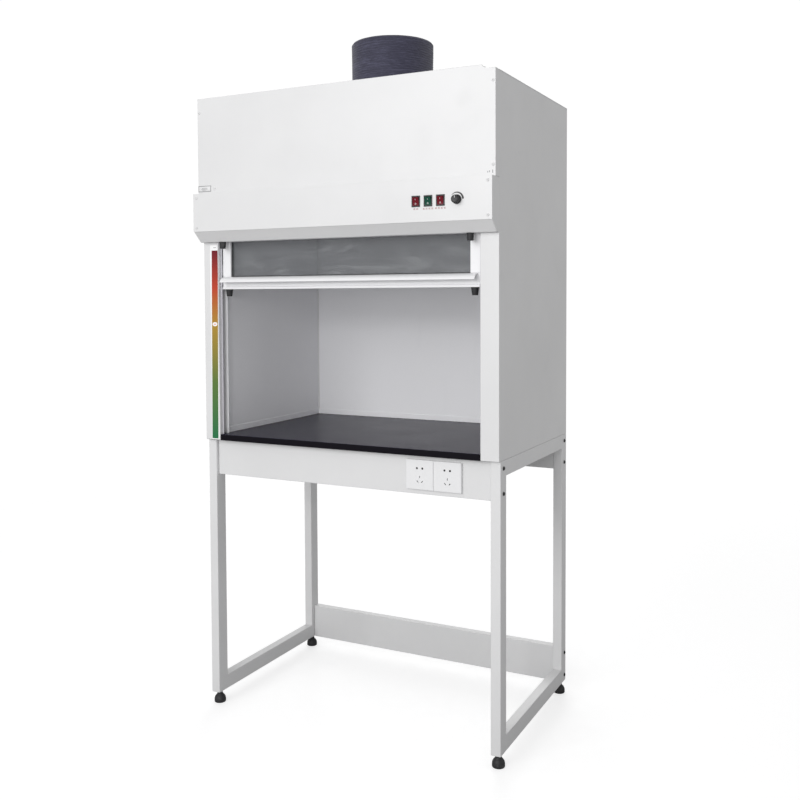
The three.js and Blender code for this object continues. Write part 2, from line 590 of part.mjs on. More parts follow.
/** Turning knob with the spindle that runs back through the panel into the speed controller. */
function speedKnob() {
  const { face, z, knobX } = CONTROL;
  const outline = [[0, -KNOB_REACH], [10, -KNOB_REACH], [11, 1 - KNOB_REACH], [11.6, face - 4],
    [13.2, face - 3], [13.2, face - 0.8], [3, face - 0.8], [3, face + 10], [0, face + 10]];
  const knob = turnedY(outline, knobX, z, 36);
  const pointer = slab(knobX - 0.7, knobX + 0.7, -KNOB_REACH - 1, 0.8 - KNOB_REACH, z + 3, z + 12);
  piece('speed_knob', cut(knob, pointer), blackPlastic());
  const box = slab(knobX - 19, knobX + 19, face + 4, face + 34, z - 19, z + 19);
  const bore = turnedY([[0, face], [3.4, face], [3.4, face + 12], [0, face + 12]], knobX, z, 24);
  piece('speed_controller', cut(box, bore), blackPlastic());
}

/** Square outlet plate with its body behind: a two-pin pair over an angled three-pin set. */
function socketOutlet(name, x) {
  const { size, z, face, body, back } = SOCKET;
  const half = size / 2;
  const plate = join(slab(x - half, x + half, face + 1.2, APRON.setBack - GAP, z - half, z + half),
    slab(x - half + 1.2, x + half - 1.2, face, face + 2, z - half + 1.2, z + half - 1.2));
  const core = slab(x - body / 2, x + body / 2, face + 4, back, z - body / 2, z + body / 2);
  const deep = [face - 1, face + 16];
  const round = [[0, deep[0]], [3.2, deep[0]], [3.2, deep[1]], [0, deep[1]]];
  const holes = [-8.6, 8.6].map((dx) => turnedY(round, x + dx, z + 18.6));
  holes.push(slab(x - 1.2, x + 1.2, ...deep, z - 9.5, z - 3));
  for (const side of [-1, 1]) {
    const slot = new THREE.BoxGeometry(2.4, 17, 7).rotateY(side * THREE.MathUtils.degToRad(38));
    holes.push(solid(slot.translate(x + side * 7, FRONT + face + 7.5, z - 20)));
  }
  piece(`socket_outlet_${name}`, cut(join(plate, core), ...holes), whitePlastic());
}

function heightScale() {
  const { left, right, bottom, top } = SCALE;
  const strip = slab(-left, -right, POST.face - GAP - 0.5, POST.face - GAP, bottom, top);
  piece('height_scale', strip, finish(0x3c9a3a, 0.4)());
}

// ---------------------------------------------------------------- assembly
bothSides((side, name) => {
  sideFrame(side, name);
  levellingFoot(side, name, legDepths()[0], 'front');
  levellingFoot(side, name, legDepths()[1], 'rear');
  sidePanel(side, name);
  frontPost(side, name);
  sashTrack(side, name);
  sideLiner(side, name);
  sashStile(side, name);
  buffers(side, name);
  pulley(side, name);
  counterweight(side, name);
  sashCable(side, name);
});
aprons();
worktop();
backAndRoof();
upperFrontPanel();
canopyShell();
controlPanel();
backLinerAndCeiling();
transomGlass();
lampHousing();
sashHandleRail();
sashTopRailAndGlass();
pulleyBeam();
fan();
duct();
switches();
speedKnob();
socketOutlet('left', SOCKET.centres[0]);
socketOutlet('right', SOCKET.centres[1]);
heightScale();

export default group;
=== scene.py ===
"""Fume hood on a welded tube stand: white powder-coated steel cabinet with a sliding glass sash,
black resin worktop, switch panel, and a ribbed exhaust sleeve on the roof. Metres, +Z up."""
import json
import math

import bmesh
import bpy
from mathutils import Matrix, Vector


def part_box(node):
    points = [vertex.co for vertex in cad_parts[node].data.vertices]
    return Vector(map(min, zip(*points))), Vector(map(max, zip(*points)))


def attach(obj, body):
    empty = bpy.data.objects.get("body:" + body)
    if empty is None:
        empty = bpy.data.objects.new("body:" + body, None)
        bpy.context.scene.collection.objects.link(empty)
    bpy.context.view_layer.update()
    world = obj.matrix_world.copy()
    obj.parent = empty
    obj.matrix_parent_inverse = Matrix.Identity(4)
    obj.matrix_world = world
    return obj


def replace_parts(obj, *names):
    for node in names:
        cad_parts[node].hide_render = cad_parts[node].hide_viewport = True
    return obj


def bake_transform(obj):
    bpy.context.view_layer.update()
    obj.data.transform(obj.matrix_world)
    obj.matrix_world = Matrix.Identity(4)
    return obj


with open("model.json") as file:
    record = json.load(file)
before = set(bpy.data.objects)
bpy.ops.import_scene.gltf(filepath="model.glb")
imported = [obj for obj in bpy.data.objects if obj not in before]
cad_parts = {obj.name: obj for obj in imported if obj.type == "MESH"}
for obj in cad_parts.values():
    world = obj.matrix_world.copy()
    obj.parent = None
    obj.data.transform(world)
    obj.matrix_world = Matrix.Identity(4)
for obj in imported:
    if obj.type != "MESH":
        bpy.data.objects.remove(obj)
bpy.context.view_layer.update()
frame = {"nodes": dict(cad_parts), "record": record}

MM = 0.001
FLOOR_CLEAR, FLOOR_END = 1.6, 5.5

# ---------------------------------------------------------------- camera and studio
# A normal lens at chest height, off the right-hand corner, looking slightly down. One large soft box
# hangs high in front, with a weaker one lower beside it and one behind, over a pale floor.
EYE = Vector((1.426, -2.686, 1.320))
HEADING, TILT, ROLL = math.radians(26.98), math.radians(-2.39), math.radians(0.25)
lens = bpy.data.cameras.new("camera")
lens.sensor_width = 36
lens.lens = 42.62
lens.shift_y = -0.08
lens.clip_end = 100
camera = bpy.data.objects.new("camera", lens)
bpy.context.scene.collection.objects.link(camera)
turn = Matrix.Rotation(HEADING, 4, "Z") @ Matrix.Rotation(TILT, 4, "X") @ Matrix.Rotation(ROLL, 4, "Y")
camera.matrix_world = Matrix.Translation(EYE) @ turn @ Matrix.Rotation(math.pi / 2, 4, "X")
bpy.context.scene.camera = camera
bpy.context.scene.view_settings.view_transform = "Standard"


class Link:
    """One output socket of a node tree: arithmetic on it adds Math nodes."""

    def __init__(self, net, socket):
        self.net, self.socket = net, socket

    def _math(self, operation, *values):
        return self.net.node("ShaderNodeMath", {"operation": operation}, dict(enumerate(values)))

    def __add__(self, other):
        return self._math("ADD", self, other)

    def __radd__(self, other):
        return self._math("ADD", other, self)

    def __sub__(self, other):
        return self._math("SUBTRACT", self, other)

    def __rsub__(self, other):
        return self._math("SUBTRACT", other, self)

    def __mul__(self, other):
        return self._math("MULTIPLY", self, other)

    def __rmul__(self, other):
        return self._math("MULTIPLY", other, self)

    def __truediv__(self, other):
        return self._math("DIVIDE", self, other)

    def __pow__(self, other):
        return self._math("POWER", self, other)

    def __gt__(self, other):
        return self._math("GREATER_THAN", self, other)

    def __lt__(self, other):
        return self._math("LESS_THAN", self, other)


class Net:
    """Adds nodes to a shader or geometry tree."""

    def __init__(self, tree):
        self.tree = tree

    def node(self, kind, settings=None, inputs=None, out=0):
        made = self.tree.nodes.new(kind)
        for key, value in (settings or {}).items():
            if key == "stops":
                ramp = made.color_ramp.elements
                while len(ramp) < len(value):
                    ramp.new(0.5)
                for stop, (place, colour) in zip(ramp, value):
                    stop.position, stop.color = place, (*colour, 1)
            else:
                setattr(made, key, value)
        for key, value in (inputs or {}).items():
            socket = made.inputs[key]
            if isinstance(value, Link):
                self.tree.links.new(value.socket, socket)
            else:
                socket.default_value = value
        return Link(self, made.outputs[out])

    def noise(self, place, scale, detail=3, roughness=0.5, distortion=0.0):
        return self.node("ShaderNodeTexNoise", {}, {"Vector": place, "Scale": scale, "Detail": detail,
                                                    "Roughness": roughness, "Distortion": distortion})

    def place(self, stretch=(1, 1, 1), shift=(0, 0, 0)):
        spot = self.node("ShaderNodeTexCoord", out="Object")
        return self.node("ShaderNodeMapping", {}, {"Vector": spot, "Scale": stretch, "Location": shift})

    def split(self, vector, axis):
        return self.node("ShaderNodeSeparateXYZ", {}, {0: vector}, out=axis)

    def band(self, value, low, high, to_low=0.0, to_high=1.0):
        return self.node("ShaderNodeMapRange", {"interpolation_type": "SMOOTHSTEP"},
                         {"Value": value, "From Min": low, "From Max": high,
                          "To Min": to_low, "To Max": to_high})

    def band_linear(self, value, low, high):
        return self.node("ShaderNodeMapRange", {}, {"Value": value, "From Min": low, "From Max": high})

    def mix(self, factor, first, second, blend="MIX"):
        return self.node("ShaderNodeMix", {"data_type": "RGBA", "blend_type": blend},
                         {0: factor, 6: colour(first), 7: colour(second)}, out=2)

    def bump(self, height, depth, strength=1.0):
        return self.node("ShaderNodeBump", {}, {"Height": height, "Distance": depth, "Strength": strength})


def colour(value):
    return value if isinstance(value, Link) else (*value[:3], 1)


def shade(name, varying, **constants):
    """A Principled material: varying(net) gives its textured sockets, constants its plain ones."""
    material = bpy.data.materials.new(name)
    material.use_nodes = True
    tree = material.node_tree
    shader = tree.nodes["Principled BSDF"]
    for key, value in constants.items():
        shader.inputs[key.replace("_", " ").title().replace("Ior", "IOR")].default_value = value
    for key, value in varying(Net(tree)).items():
        tree.links.new(value.socket, shader.inputs[key])
    return material


def floor_finish(net):
    """Pale paint that runs out into the white background a few metres away."""
    grain = net.noise(net.place(), 18, 5)
    seen = net.node("ShaderNodeLightPath", out="Is Camera Ray")
    away = net.node("ShaderNodeVectorMath", {"operation": "LENGTH"}, {0: net.place()}, out=1)
    return {"Base Color": net.mix(grain, (0.40, 0.40, 0.405), (0.44, 0.44, 0.44)),
            "Emission Color": net.mix(seen, (0.02, 0.02, 0.02), (0.65, 0.65, 0.65)),
            "Roughness": net.band(grain, 0.3, 0.7, 0.55, 0.68),
            "Alpha": net.band(away, FLOOR_CLEAR, FLOOR_END, 1.0, 0.0)}


def new_object(name, mesh, material=None):
    thing = bpy.data.objects.new(name, mesh)
    bpy.context.scene.collection.objects.link(thing)
    if material:
        mesh.materials.append(material)
    return thing


floor_mesh = bpy.data.meshes.new("floor")
FLOOR_HALF = 40
floor_corners = [(x * FLOOR_HALF, y * FLOOR_HALF, 0) for x, y in ((-1, -1), (1, -1), (1, 1), (-1, 1))]
floor_mesh.from_pydata(floor_corners, [], [(0, 1, 2, 3)])
floor_paint = shade("floor_paint", floor_finish, emission_strength=1.0)
new_object("floor", floor_mesh, floor_paint)

world = bpy.data.worlds.new("studio")
bpy.context.scene.world = world
world.use_nodes = True
sky = Net(world.node_tree)
seen = sky.node("ShaderNodeLightPath", out="Is Camera Ray")
WORLD_LIGHT, WORLD_SEEN_MORE = 0.56, 0.46
backdrop = world.node_tree.nodes["Background"]
world.node_tree.links.new((WORLD_LIGHT + seen * WORLD_SEEN_MORE).socket, backdrop.inputs["Strength"])
backdrop.inputs["Color"].default_value = (1, 1, 1, 1)


def soft_box(name, spot, aim, size, power):
    lamp = bpy.data.lights.new(name, "AREA")
    lamp.shape, lamp.size, lamp.energy = "SQUARE", size, power
    thing = bpy.data.objects.new(name, lamp)
    bpy.context.scene.collection.objects.link(thing)
    thing.location = spot
    thing.rotation_euler = (Vector(aim) - Vector(spot)).to_track_quat("-Z", "Y").to_euler()


soft_box("key_light", (-1.2, -5.0, 3.2), (0, 0, 1.2), 2.4, 88)
soft_box("fill_light", (0.6, -4.4, 1.75), (0, 0, 0.9), 1.4, 50)
soft_box("rim_light", (-1.8, 4.6, 3.4), (0, 0, 1.2), 3.0, 60)


# ---------------------------------------------------------------- stand
# Two welded end frames of steel tube joined by folded trays, all powder coated white. The frames'
# corners are ground flush before painting, and the trays are bolted between the legs.
def place_mesh(name, body, bm, material, stands_for=(), smooth=32):
    """Turns a bmesh into a finished piece: its sides smooth, and its edges over that angle crisp."""
    limit = math.radians(smooth)
    for face in bm.faces:
        face.smooth = True
    for edge in bm.edges:
        edge.smooth = len(edge.link_faces) == 2 and edge.calc_face_angle(0) < limit
    mesh = bpy.data.meshes.new(name)
    bm.to_mesh(mesh)
    bm.free()
    piece = new_object(name, mesh, material)
    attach(piece, body)
    if stands_for:
        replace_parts(piece, *stands_for)
    return piece


body_of_node = {node: body for body, nodes in frame["record"]["behaviour"]["bodies"].items()
                for node in nodes}


def flat_faced(piece):
    """Keeps the broad faces evenly lit right up to the rounding of their folds."""
    weigh = piece.modifiers.new("weigh", "WEIGHTED_NORMAL")
    weigh.keep_sharp = True
    bpy.context.view_layer.update()
    mesh = bpy.data.meshes.new_from_object(piece.evaluated_get(bpy.context.evaluated_depsgraph_get()))
    piece.modifiers.remove(weigh)
    mesh.name = piece.name
    piece.data = mesh


def dressed(node, material, fold=0.0, edge=0.0003, smooth=32):
    """A CAD node's shape with its flat faces merged, its folds rounded and its cut edges broken."""
    bm = bmesh.new()
    bm.from_mesh(frame["nodes"][node].data)
    bmesh.ops.remove_doubles(bm, verts=bm.verts, dist=1e-6)
    bmesh.ops.dissolve_limit(bm, angle_limit=math.radians(0.4), verts=bm.verts, edges=bm.edges)

    def width(face):
        return 2 * face.calc_area() / max(face.calc_perimeter(), 1e-9)

    def sharp(edge):
        return len(edge.link_faces) == 2 and edge.calc_face_angle(0) > math.radians(smooth)

    if fold:
        folds = [e for e in bm.edges if sharp(e) and e.is_convex
                 and min(width(f) for f in e.link_faces) > 1.6 * fold]
        bmesh.ops.bevel(bm, geom=folds, offset=fold, segments=3, profile=0.5, affect="EDGES")
    if edge:
        rims = [e for e in bm.edges if sharp(e)]
        bmesh.ops.bevel(bm, geom=rims, offset=edge, segments=1, profile=0.5, affect="EDGES",
                        clamp_overlap=True)
    piece = place_mesh(node + "_skin", body_of_node[node], bm, material, (), smooth)
    if fold:
        flat_faced(piece)
    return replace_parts(piece, node)


def powder_coat(tint, rough):
    """Thick sprayed powder: a fine orange peel, and patches a little duller than the rest."""
    def varying(net):
        spot = net.place()
        patch = net.noise(spot, 2.3, 4, 0.6)
        peel = net.noise(spot, 520, 2, 0.5)
        smear = net.band(net.noise(spot, 9, 5, 0.7, 0.6), 0.56, 0.78)
        foot = net.band(net.split(spot, "Z"), 0.0, 0.22, 1.0, 0.0) * net.noise(spot, 34, 4)
        dull = tuple(c * 0.955 for c in tint)
        base = net.mix(net.band(patch, 0.3, 0.7), tint, dull)
        dusty = tuple(c * 0.86 for c in tint)
        return {"Base Color": net.mix(foot * 0.35 + smear * 0.10, base, dusty),
                "Roughness": rough + patch * 0.10 + smear * 0.12,
                "Normal": net.bump(peel, 0.00022, 0.35)}
    return varying


white_coat = shade("white_powder_coat", powder_coat((0.735, 0.735, 0.74), 0.33), ior=1.5,
                   coat_weight=0.15, coat_roughness=0.25)
for side in ("left", "right"):
    dressed(f"side_frame_{side}", white_coat, fold=0.0022)
for tray in ("front_apron", "rear_apron", "rear_stretcher"):
    dressed(tray, white_coat, fold=0.0018)


# Bell-shaped feet of black moulded rubber on M10 studs: each stud screws up into its leg and a
# hexagon nut locks it against the leg's underside.
def spun(bm, rings, spot=(0, 0, 0), axis="Z", steps=64, closed=False):
    """Adds a surface of revolution to bm. A ring is (radius, along) or (radius, along, flats), where
    flats makes it a polygon. An outline that starts and ends on the axis is capped there."""
    way = {"Z": Matrix.Identity(4), "X": Matrix.Rotation(math.pi / 2, 4, "Y"),
           "Y": Matrix.Rotation(-math.pi / 2, 4, "X")}[axis]
    way = Matrix.Translation(spot) @ way
    loops = []
    for ring in rings:
        radius, along, flats = (*ring, 0)[:3]
        if radius <= 1e-9:
            loops.append([bm.verts.new(way @ Vector((0, 0, along)))])
            continue
        loop = []
        for i in range(steps):
            angle = 2 * math.pi * i / steps
            wedge = 2 * math.pi / flats if flats else 0
            reach = radius / math.cos(angle % wedge - wedge / 2) if flats else radius
            spoke = Vector((reach * math.cos(angle), reach * math.sin(angle), along))
            loop.append(bm.verts.new(way @ spoke))
        loops.append(loop)
    pairs = list(zip(loops, loops[1:] + loops[:1]))
    for lower, upper in pairs if closed else pairs[:-1]:
        for i in range(steps):
            j = (i + 1) % steps
            corners = (lower[i % len(lower)], lower[j % len(lower)],
                       upper[j % len(upper)], upper[i % len(upper)])
            corners = list(dict.fromkeys(corners))
            if len(corners) > 2:
                bm.faces.new(corners)
    bmesh.ops.recalc_face_normals(bm, faces=bm.faces)


def eased(outline, radius, steps=3):
    """Rounds the corners of an open outline of (radius, along) points."""
    points = [Vector(p) for p in outline]
    result = [tuple(points[0])]
    for before, corner, after in zip(points, points[1:], points[2:]):
        a, b = before - corner, after - corner
        cut = min(radius, a.length * 0.45, b.length * 0.45)
        start, end = corner + a.normalized() * cut, corner + b.normalized() * cut
        for i in range(steps + 1):
            t = i / steps
            result.append(tuple(start.lerp(corner, t).lerp(corner.lerp(end, t), t)))
    return result + [tuple(points[-1])]


def moulded(tint, rough, grain=700.0, depth=0.0001, wear=0.12, spread=0.10):
    """Moulded rubber or plastic: a fine matt texture, and lighter scuffs."""
    def varying(net):
        spot = net.place()
        scuff = net.band(net.noise(spot, 55, 5, 0.65), 0.52, 0.75)
        fine = net.noise(spot, grain, 3, 0.6)
        lighter = tuple(c + wear * (0.35 - c) for c in tint)
        return {"Base Color": net.mix(scuff, tint, lighter),
                "Roughness": rough + scuff * spread + fine * 0.06,
                "Normal": net.bump(fine, depth, 0.5)}
    return varying


black_rubber = shade("black_rubber", moulded((0.016, 0.016, 0.018), 0.55, 900, 0.00012, 0.16))
zinc_tint = (0.60, 0.61, 0.62)


def zinc_plate(net):
    spot = net.place()
    spangle = net.node("ShaderNodeTexVoronoi", {"feature": "F1"}, {"Vector": spot, "Scale": 140},
                       out="Color")
    facet = net.node("ShaderNodeSeparateColor", {}, {0: spangle}, out=0)
    stain = net.band(net.noise(spot, 16, 5, 0.65), 0.45, 0.75)
    return {"Base Color": net.mix(stain * 0.5 + facet * 0.25, zinc_tint, (0.42, 0.43, 0.44)),
            "Roughness": 0.30 + facet * 0.10 + stain * 0.16,
            "Normal": net.bump(net.noise(spot, 380, 3), 0.00006, 0.4)}


zinc = shade("zinc_plated_steel", zinc_plate, metallic=0.9)

THREAD_PITCH = 1.5 * MM
for foot in [n for n in frame["nodes"] if n.startswith("levelling_foot")]:
    low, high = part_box(foot)
    centre = ((low.x + high.x) / 2, (low.y + high.y) / 2, 0)
    pad = (high.x - low.x) / 2
    dome = eased([(0, 0), (pad - 1.5 * MM, 0), (pad, 2 * MM), (pad, 11 * MM), (pad - 1.2 * MM, 16.5 * MM),
                  (14.2 * MM, 21.5 * MM), (10.4 * MM, 25 * MM), (8.8 * MM, 28 * MM), (8.7 * MM, 30 * MM),
                  (5.4 * MM, 30.8 * MM)], 1.4 * MM)
    turns = int((high.z - 32 * MM) / THREAD_PITCH)
    stud = []
    for i in range(turns):
        foot_of_turn = 31 * MM + i * THREAD_PITCH
        stud += [(4.35 * MM, foot_of_turn), (4.95 * MM, foot_of_turn + THREAD_PITCH / 2)]
    stud += [(4.2 * MM, high.z - 0.8 * MM), (3.4 * MM, high.z), (0, high.z)]
    bm = bmesh.new()
    spun(bm, dome + stud, centre, steps=48)
    place_mesh(foot + "_skin", body_of_node[foot], bm, black_rubber, [foot])

bm = bmesh.new()
nut_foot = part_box("side_frame_left")[0].z - 6.2 * MM
for foot in [n for n in frame["nodes"] if n.startswith("levelling_foot")]:
    low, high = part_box(foot)
    centre = ((low.x + high.x) / 2, (low.y + high.y) / 2, nut_foot)
    spun(bm, [(5.3 * MM, 0.3 * MM), (8.2 * MM, 0), (8.5 * MM, 0.7 * MM, 6), (8.5 * MM, 5.2 * MM, 6),
              (8.2 * MM, 5.9 * MM), (5.3 * MM, 5.7 * MM)], centre, steps=48, closed=True)
place_mesh("foot_lock_nuts", "cabinet", bm, zinc)


# Domed screws with a hexagon socket hold the frames to the trays and the covers to the cabinet. One
# modelled head is set out at every fastening place, turned at random as a fitter leaves it.
def fastener_tree():
    tree = bpy.data.node_groups.new("fasteners", "GeometryNodeTree")
    sockets = tree.interface
    sockets.new_socket("Places", in_out="INPUT", socket_type="NodeSocketGeometry")
    for label, kind in (("Head", "NodeSocketObject"), ("Finish", "NodeSocketMaterial"),
                        ("Twist", "NodeSocketFloat"), ("Seed", "NodeSocketInt")):
        sockets.new_socket(label, in_out="INPUT", socket_type=kind)
    sockets.new_socket("Geometry", in_out="OUTPUT", socket_type="NodeSocketGeometry")
    net = Net(tree)
    given = {label: net.node("NodeGroupInput", out=label)
             for label in ("Places", "Head", "Finish", "Twist", "Seed")}
    facing = net.node("GeometryNodeInputNamedAttribute", {"data_type": "FLOAT_VECTOR"}, {"Name": "facing"})
    upright = net.node("FunctionNodeAlignRotationToVector", {"axis": "Z"}, {"Vector": facing})
    spin = net.node("FunctionNodeRandomValue", {"data_type": "FLOAT"},
                    {3: given["Twist"], "Seed": given["Seed"]}, out=1)
    twist = net.node("ShaderNodeCombineXYZ", {}, {2: spin})
    turned = net.node("FunctionNodeRotateRotation", {"rotation_space": "LOCAL"}, {0: upright, 1: twist})
    head = net.node("GeometryNodeObjectInfo", {}, {"Object": given["Head"]}, out="Geometry")
    heads = net.node("GeometryNodeInstanceOnPoints", {}, {"Points": given["Places"], "Instance": head,
                                                          "Rotation": turned})
    solid = net.node("GeometryNodeRealizeInstances", {}, {0: heads})
    painted = net.node("GeometryNodeSetMaterial", {}, {"Geometry": solid, "Material": given["Finish"]})
    output = tree.nodes.new("NodeGroupOutput")
    tree.links.new(painted.socket, output.inputs["Geometry"])
    return tree


set_out = fastener_tree()


def settled(thing, tree, values, name, body):
    """Runs a geometry tree on thing with its named inputs, and leaves the result as a plain piece."""
    modifier = thing.modifiers.new("tree", "NODES")
    modifier.node_group = tree
    for item in tree.interface.items_tree:
        if item.in_out == "INPUT" and item.name in values:
            modifier[item.identifier] = values[item.name]
    thing.update_tag()
    bpy.context.view_layer.update()
    graph = bpy.context.evaluated_depsgraph_get()
    mesh = bpy.data.meshes.new_from_object(thing.evaluated_get(graph))
    mesh.name = name
    bpy.data.objects.remove(thing)
    piece = new_object(name, mesh)
    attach(piece, body)
    return piece


def screw_head(name, radius, height):
    """A low domed head with a hexagon recess, standing on the plane z = 0."""
    bm = bmesh.new()
    key = radius * 0.42
    spun(bm, [(0, -1 * MM), (radius * 0.6, -1 * MM), (radius * 0.97, 0), (radius, height * 0.25),
              (radius * 0.86, height * 0.72), (radius * 0.62, height), (key * 1.12, height),
              (key, height * 0.9, 6), (key, height * 0.3, 6), (0, height * 0.22)], steps=24)
    for face in bm.faces:
        face.smooth = face.normal.z < 0.999
    mesh = bpy.data.meshes.new(name)
    bm.to_mesh(mesh)
    bm.free()
    return bpy.data.objects.new(name, mesh)


def fastened(name, head, material, places, seed, body="cabinet", twist=2 * math.pi):
    """places is a list of (point, outward direction). Each head is turned by up to twist."""
    mesh = bpy.data.meshes.new(name)
    mesh.from_pydata([tuple(point) for point, _ in places], [], [])
    facing = mesh.attributes.new("facing", "FLOAT_VECTOR", "POINT")
    for i, (_, way) in enumerate(places):
        facing.data[i].vector = way
    points = new_object(name + "_places", mesh)
    values = {"Head": head, "Finish": material, "Twist": twist, "Seed": seed}
    return settled(points, set_out, values, name, body)


frame_bolt = screw_head("frame_bolt", 5.8 * MM, 3.4 * MM)
cover_screw = screw_head("cover_screw", 4.2 * MM, 2.0 * MM)
black_steel = shade("black_oxide_steel", moulded((0.020, 0.020, 0.022), 0.32, 500, 0.00005, 0.25),
                    metallic=0.6)

stand_low, stand_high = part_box("side_frame_left")
leg_front = stand_low.y
leg_back = stand_high.y
BOLT_INSET, LEG_MIDDLE, STRETCHER_SETBACK = 21 * MM, 22.5 * MM, 15 * MM
tray_low, tray_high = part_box("front_apron")
foot_low, foot_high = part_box("rear_stretcher")
bolt_places = []
for side in (-1, 1):
    flank = side * abs(stand_low.x)
    spots = [(y, z) for y in (leg_front + LEG_MIDDLE, leg_back - LEG_MIDDLE)
             for z in (tray_low.z + BOLT_INSET, tray_high.z - BOLT_INSET)]
    spots += [(leg_back - STRETCHER_SETBACK, z)
              for z in (foot_low.z + BOLT_INSET, foot_high.z - BOLT_INSET)]
    bolt_places += [(Vector((flank, y, z)), Vector((side, 0, 0))) for y, z in spots]
fastened("frame_bolts", frame_bolt, black_steel, bolt_places, 3)

# ---------------------------------------------------------------- cabinet shell
# Folded steel skins over the stand, each painted before it is screwed on: two sides, back, roof, the
# lift-off cover of the head with its raised hem, the canopy box, its control plate, and corner posts.
for skin in ("side_panel_left", "side_panel_right", "upper_front_panel", "canopy_shell", "front_post_left",
             "front_post_right"):
    dressed(skin, white_coat, fold=0.0016)
for sheet in ("back_panel", "roof_panel", "control_panel"):
    dressed(sheet, white_coat, edge=0.0004)

cover_low, cover_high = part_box("upper_front_panel")
plate_low, plate_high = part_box("control_panel")
head_front, plate_front = cover_low.y, plate_low.y
FORWARD = Vector((0, -1, 0))
head_middle = (cover_low.z + cover_high.z) / 2
cover_places = []
for side in (-1, 1):
    edge_x = side * cover_high.x
    for z, inward in ((cover_low.z + 30 * MM, 7.3 * MM), (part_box("roof_panel")[1].z - 34 * MM, 7.3 * MM)):
        if side < 0 and z < head_middle:
            z, inward = cover_low.z + 16.5 * MM, 64 * MM
        cover_places.append((Vector((edge_x - side * inward, head_front, z)), FORWARD))
    for z in (plate_low.z + 12 * MM, plate_high.z - 13 * MM):
        cover_places.append((Vector((edge_x - side * 12.5 * MM, plate_front, z)), FORWARD))
fastened("cover_screws", cover_screw, white_coat, cover_places, 5)


def block(bm, low, high, ease=0.0, segments=2):
    """Adds a box to bm, its edges rounded."""
    centre = (Vector(low) + Vector(high)) / 2
    size = [abs(c) for c in Vector(high) - Vector(low)]
    where = Matrix.Translation(centre) @ Matrix.Diagonal((*size, 1))
    made = bmesh.ops.create_cube(bm, size=1, matrix=where)
    if ease:
        edges = list({e for v in made["verts"] for e in v.link_edges})
        bmesh.ops.bevel(bm, geom=edges, offset=ease, segments=segments, profile=0.5, affect="EDGES")


# The back is one flat sheet screwed round its edge, with a screwed service cover behind the fan and a
# column of pressed cooling louvres on each side of it. The roof sheet is screwed down too.
back_low, back_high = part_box("back_panel")
BACKWARD, UPWARD = Vector((0, 1, 0)), Vector((0, 0, 1))
SERVICE_HALF, SERVICE_TALL, SERVICE_THICK = 240 * MM, 300 * MM, 1.2 * MM
service_top = back_high.z - 58 * MM
service_foot = service_top - SERVICE_TALL
sheet_face = back_high.y + 0.1 * MM
service_face = sheet_face + SERVICE_THICK
bm = bmesh.new()
block(bm, (-SERVICE_HALF, sheet_face, service_foot), (SERVICE_HALF, service_face, service_top), 0.5 * MM)
place_mesh("service_cover", "cabinet", bm, white_coat)


def along(start, end, count):
    return [start + (end - start) * i / (count - 1) for i in range(count)]


LOUVRE_HALF, LOUVRE_FALL, LOUVRE_DEPTH, SHEET = 35 * MM, 10 * MM, 4.5 * MM, 0.8 * MM
LOUVRE_SHIFT, LOUVRE_MARGIN, LOUVRES = 40 * MM, 70 * MM, 9
ACROSS, DOWN = 20, 8
END_FULLNESS = 0.35                         # how squarely a louvre's ends close
bm = bmesh.new()
skins = []
for lift in (0, SHEET):
    rows = []
    for j in range(DOWN + 1):
        row = []
        for i in range(ACROSS + 1):
            side_fade = math.sin(math.pi * i / ACROSS) ** END_FULLNESS if 0 < i < ACROSS else 0.0
            bulge = LOUVRE_DEPTH * side_fade * math.sin(math.pi / 2 * j / DOWN) + lift
            spot = (LOUVRE_HALF * (2 * i / ACROSS - 1), LOUVRE_FALL * (j / DOWN - 0.5), bulge)
            row.append(bm.verts.new(spot))
        rows.append(row)
    skins.append(rows)
for j in range(DOWN):
    for i in range(ACROSS):
        for rows in skins:
            bm.faces.new((rows[j][i], rows[j][i + 1], rows[j + 1][i + 1], rows[j + 1][i]))
inner, outer = [rows[0] + [row[-1] for row in rows[1:]] + rows[-1][-2::-1]
                + [row[0] for row in rows[-2:0:-1]] for rows in skins]
for i in range(len(inner)):
    k = (i + 1) % len(inner)
    bm.faces.new((inner[i], inner[k], outer[k], outer[i]))
bmesh.ops.recalc_face_normals(bm, faces=bm.faces)
for face in bm.faces:
    face.smooth = True
louvre_mesh = bpy.data.meshes.new("louvre")
bm.to_mesh(louvre_mesh)
bm.free()
louvre = bpy.data.objects.new("louvre", louvre_mesh)
louvre_middle = (SERVICE_HALF + back_high.x) / 2 - LOUVRE_SHIFT
louvre_heights = along(service_foot + LOUVRE_MARGIN, service_top - LOUVRE_MARGIN, LOUVRES)
louvre_places = [(Vector((side * louvre_middle, sheet_face, z)), BACKWARD)
                 for side in (-1, 1) for z in louvre_heights]
fastened("back_louvres", louvre, white_coat, louvre_places, 11, twist=0.0)

inset = 9 * MM
back_places = [(Vector((x, service_face, z)), BACKWARD)
               for z in (service_foot + inset, service_top - inset)
               for x in along(-SERVICE_HALF + inset, SERVICE_HALF - inset, 4)]
for x in (back_low.x + inset, back_high.x - inset):
    back_places += [(Vector((x, back_high.y, z)), BACKWARD)
                    for z in along(back_low.z + 20 * MM, back_high.z - 20 * MM, 6)]
for z in (back_low.z + inset, back_high.z - inset):
    back_places += [(Vector((x, back_high.y, z)), BACKWARD)
                    for x in along(back_low.x + 170 * MM, back_high.x - 170 * MM, 4)]
fastened("back_screws", cover_screw, white_coat, back_places, 7)

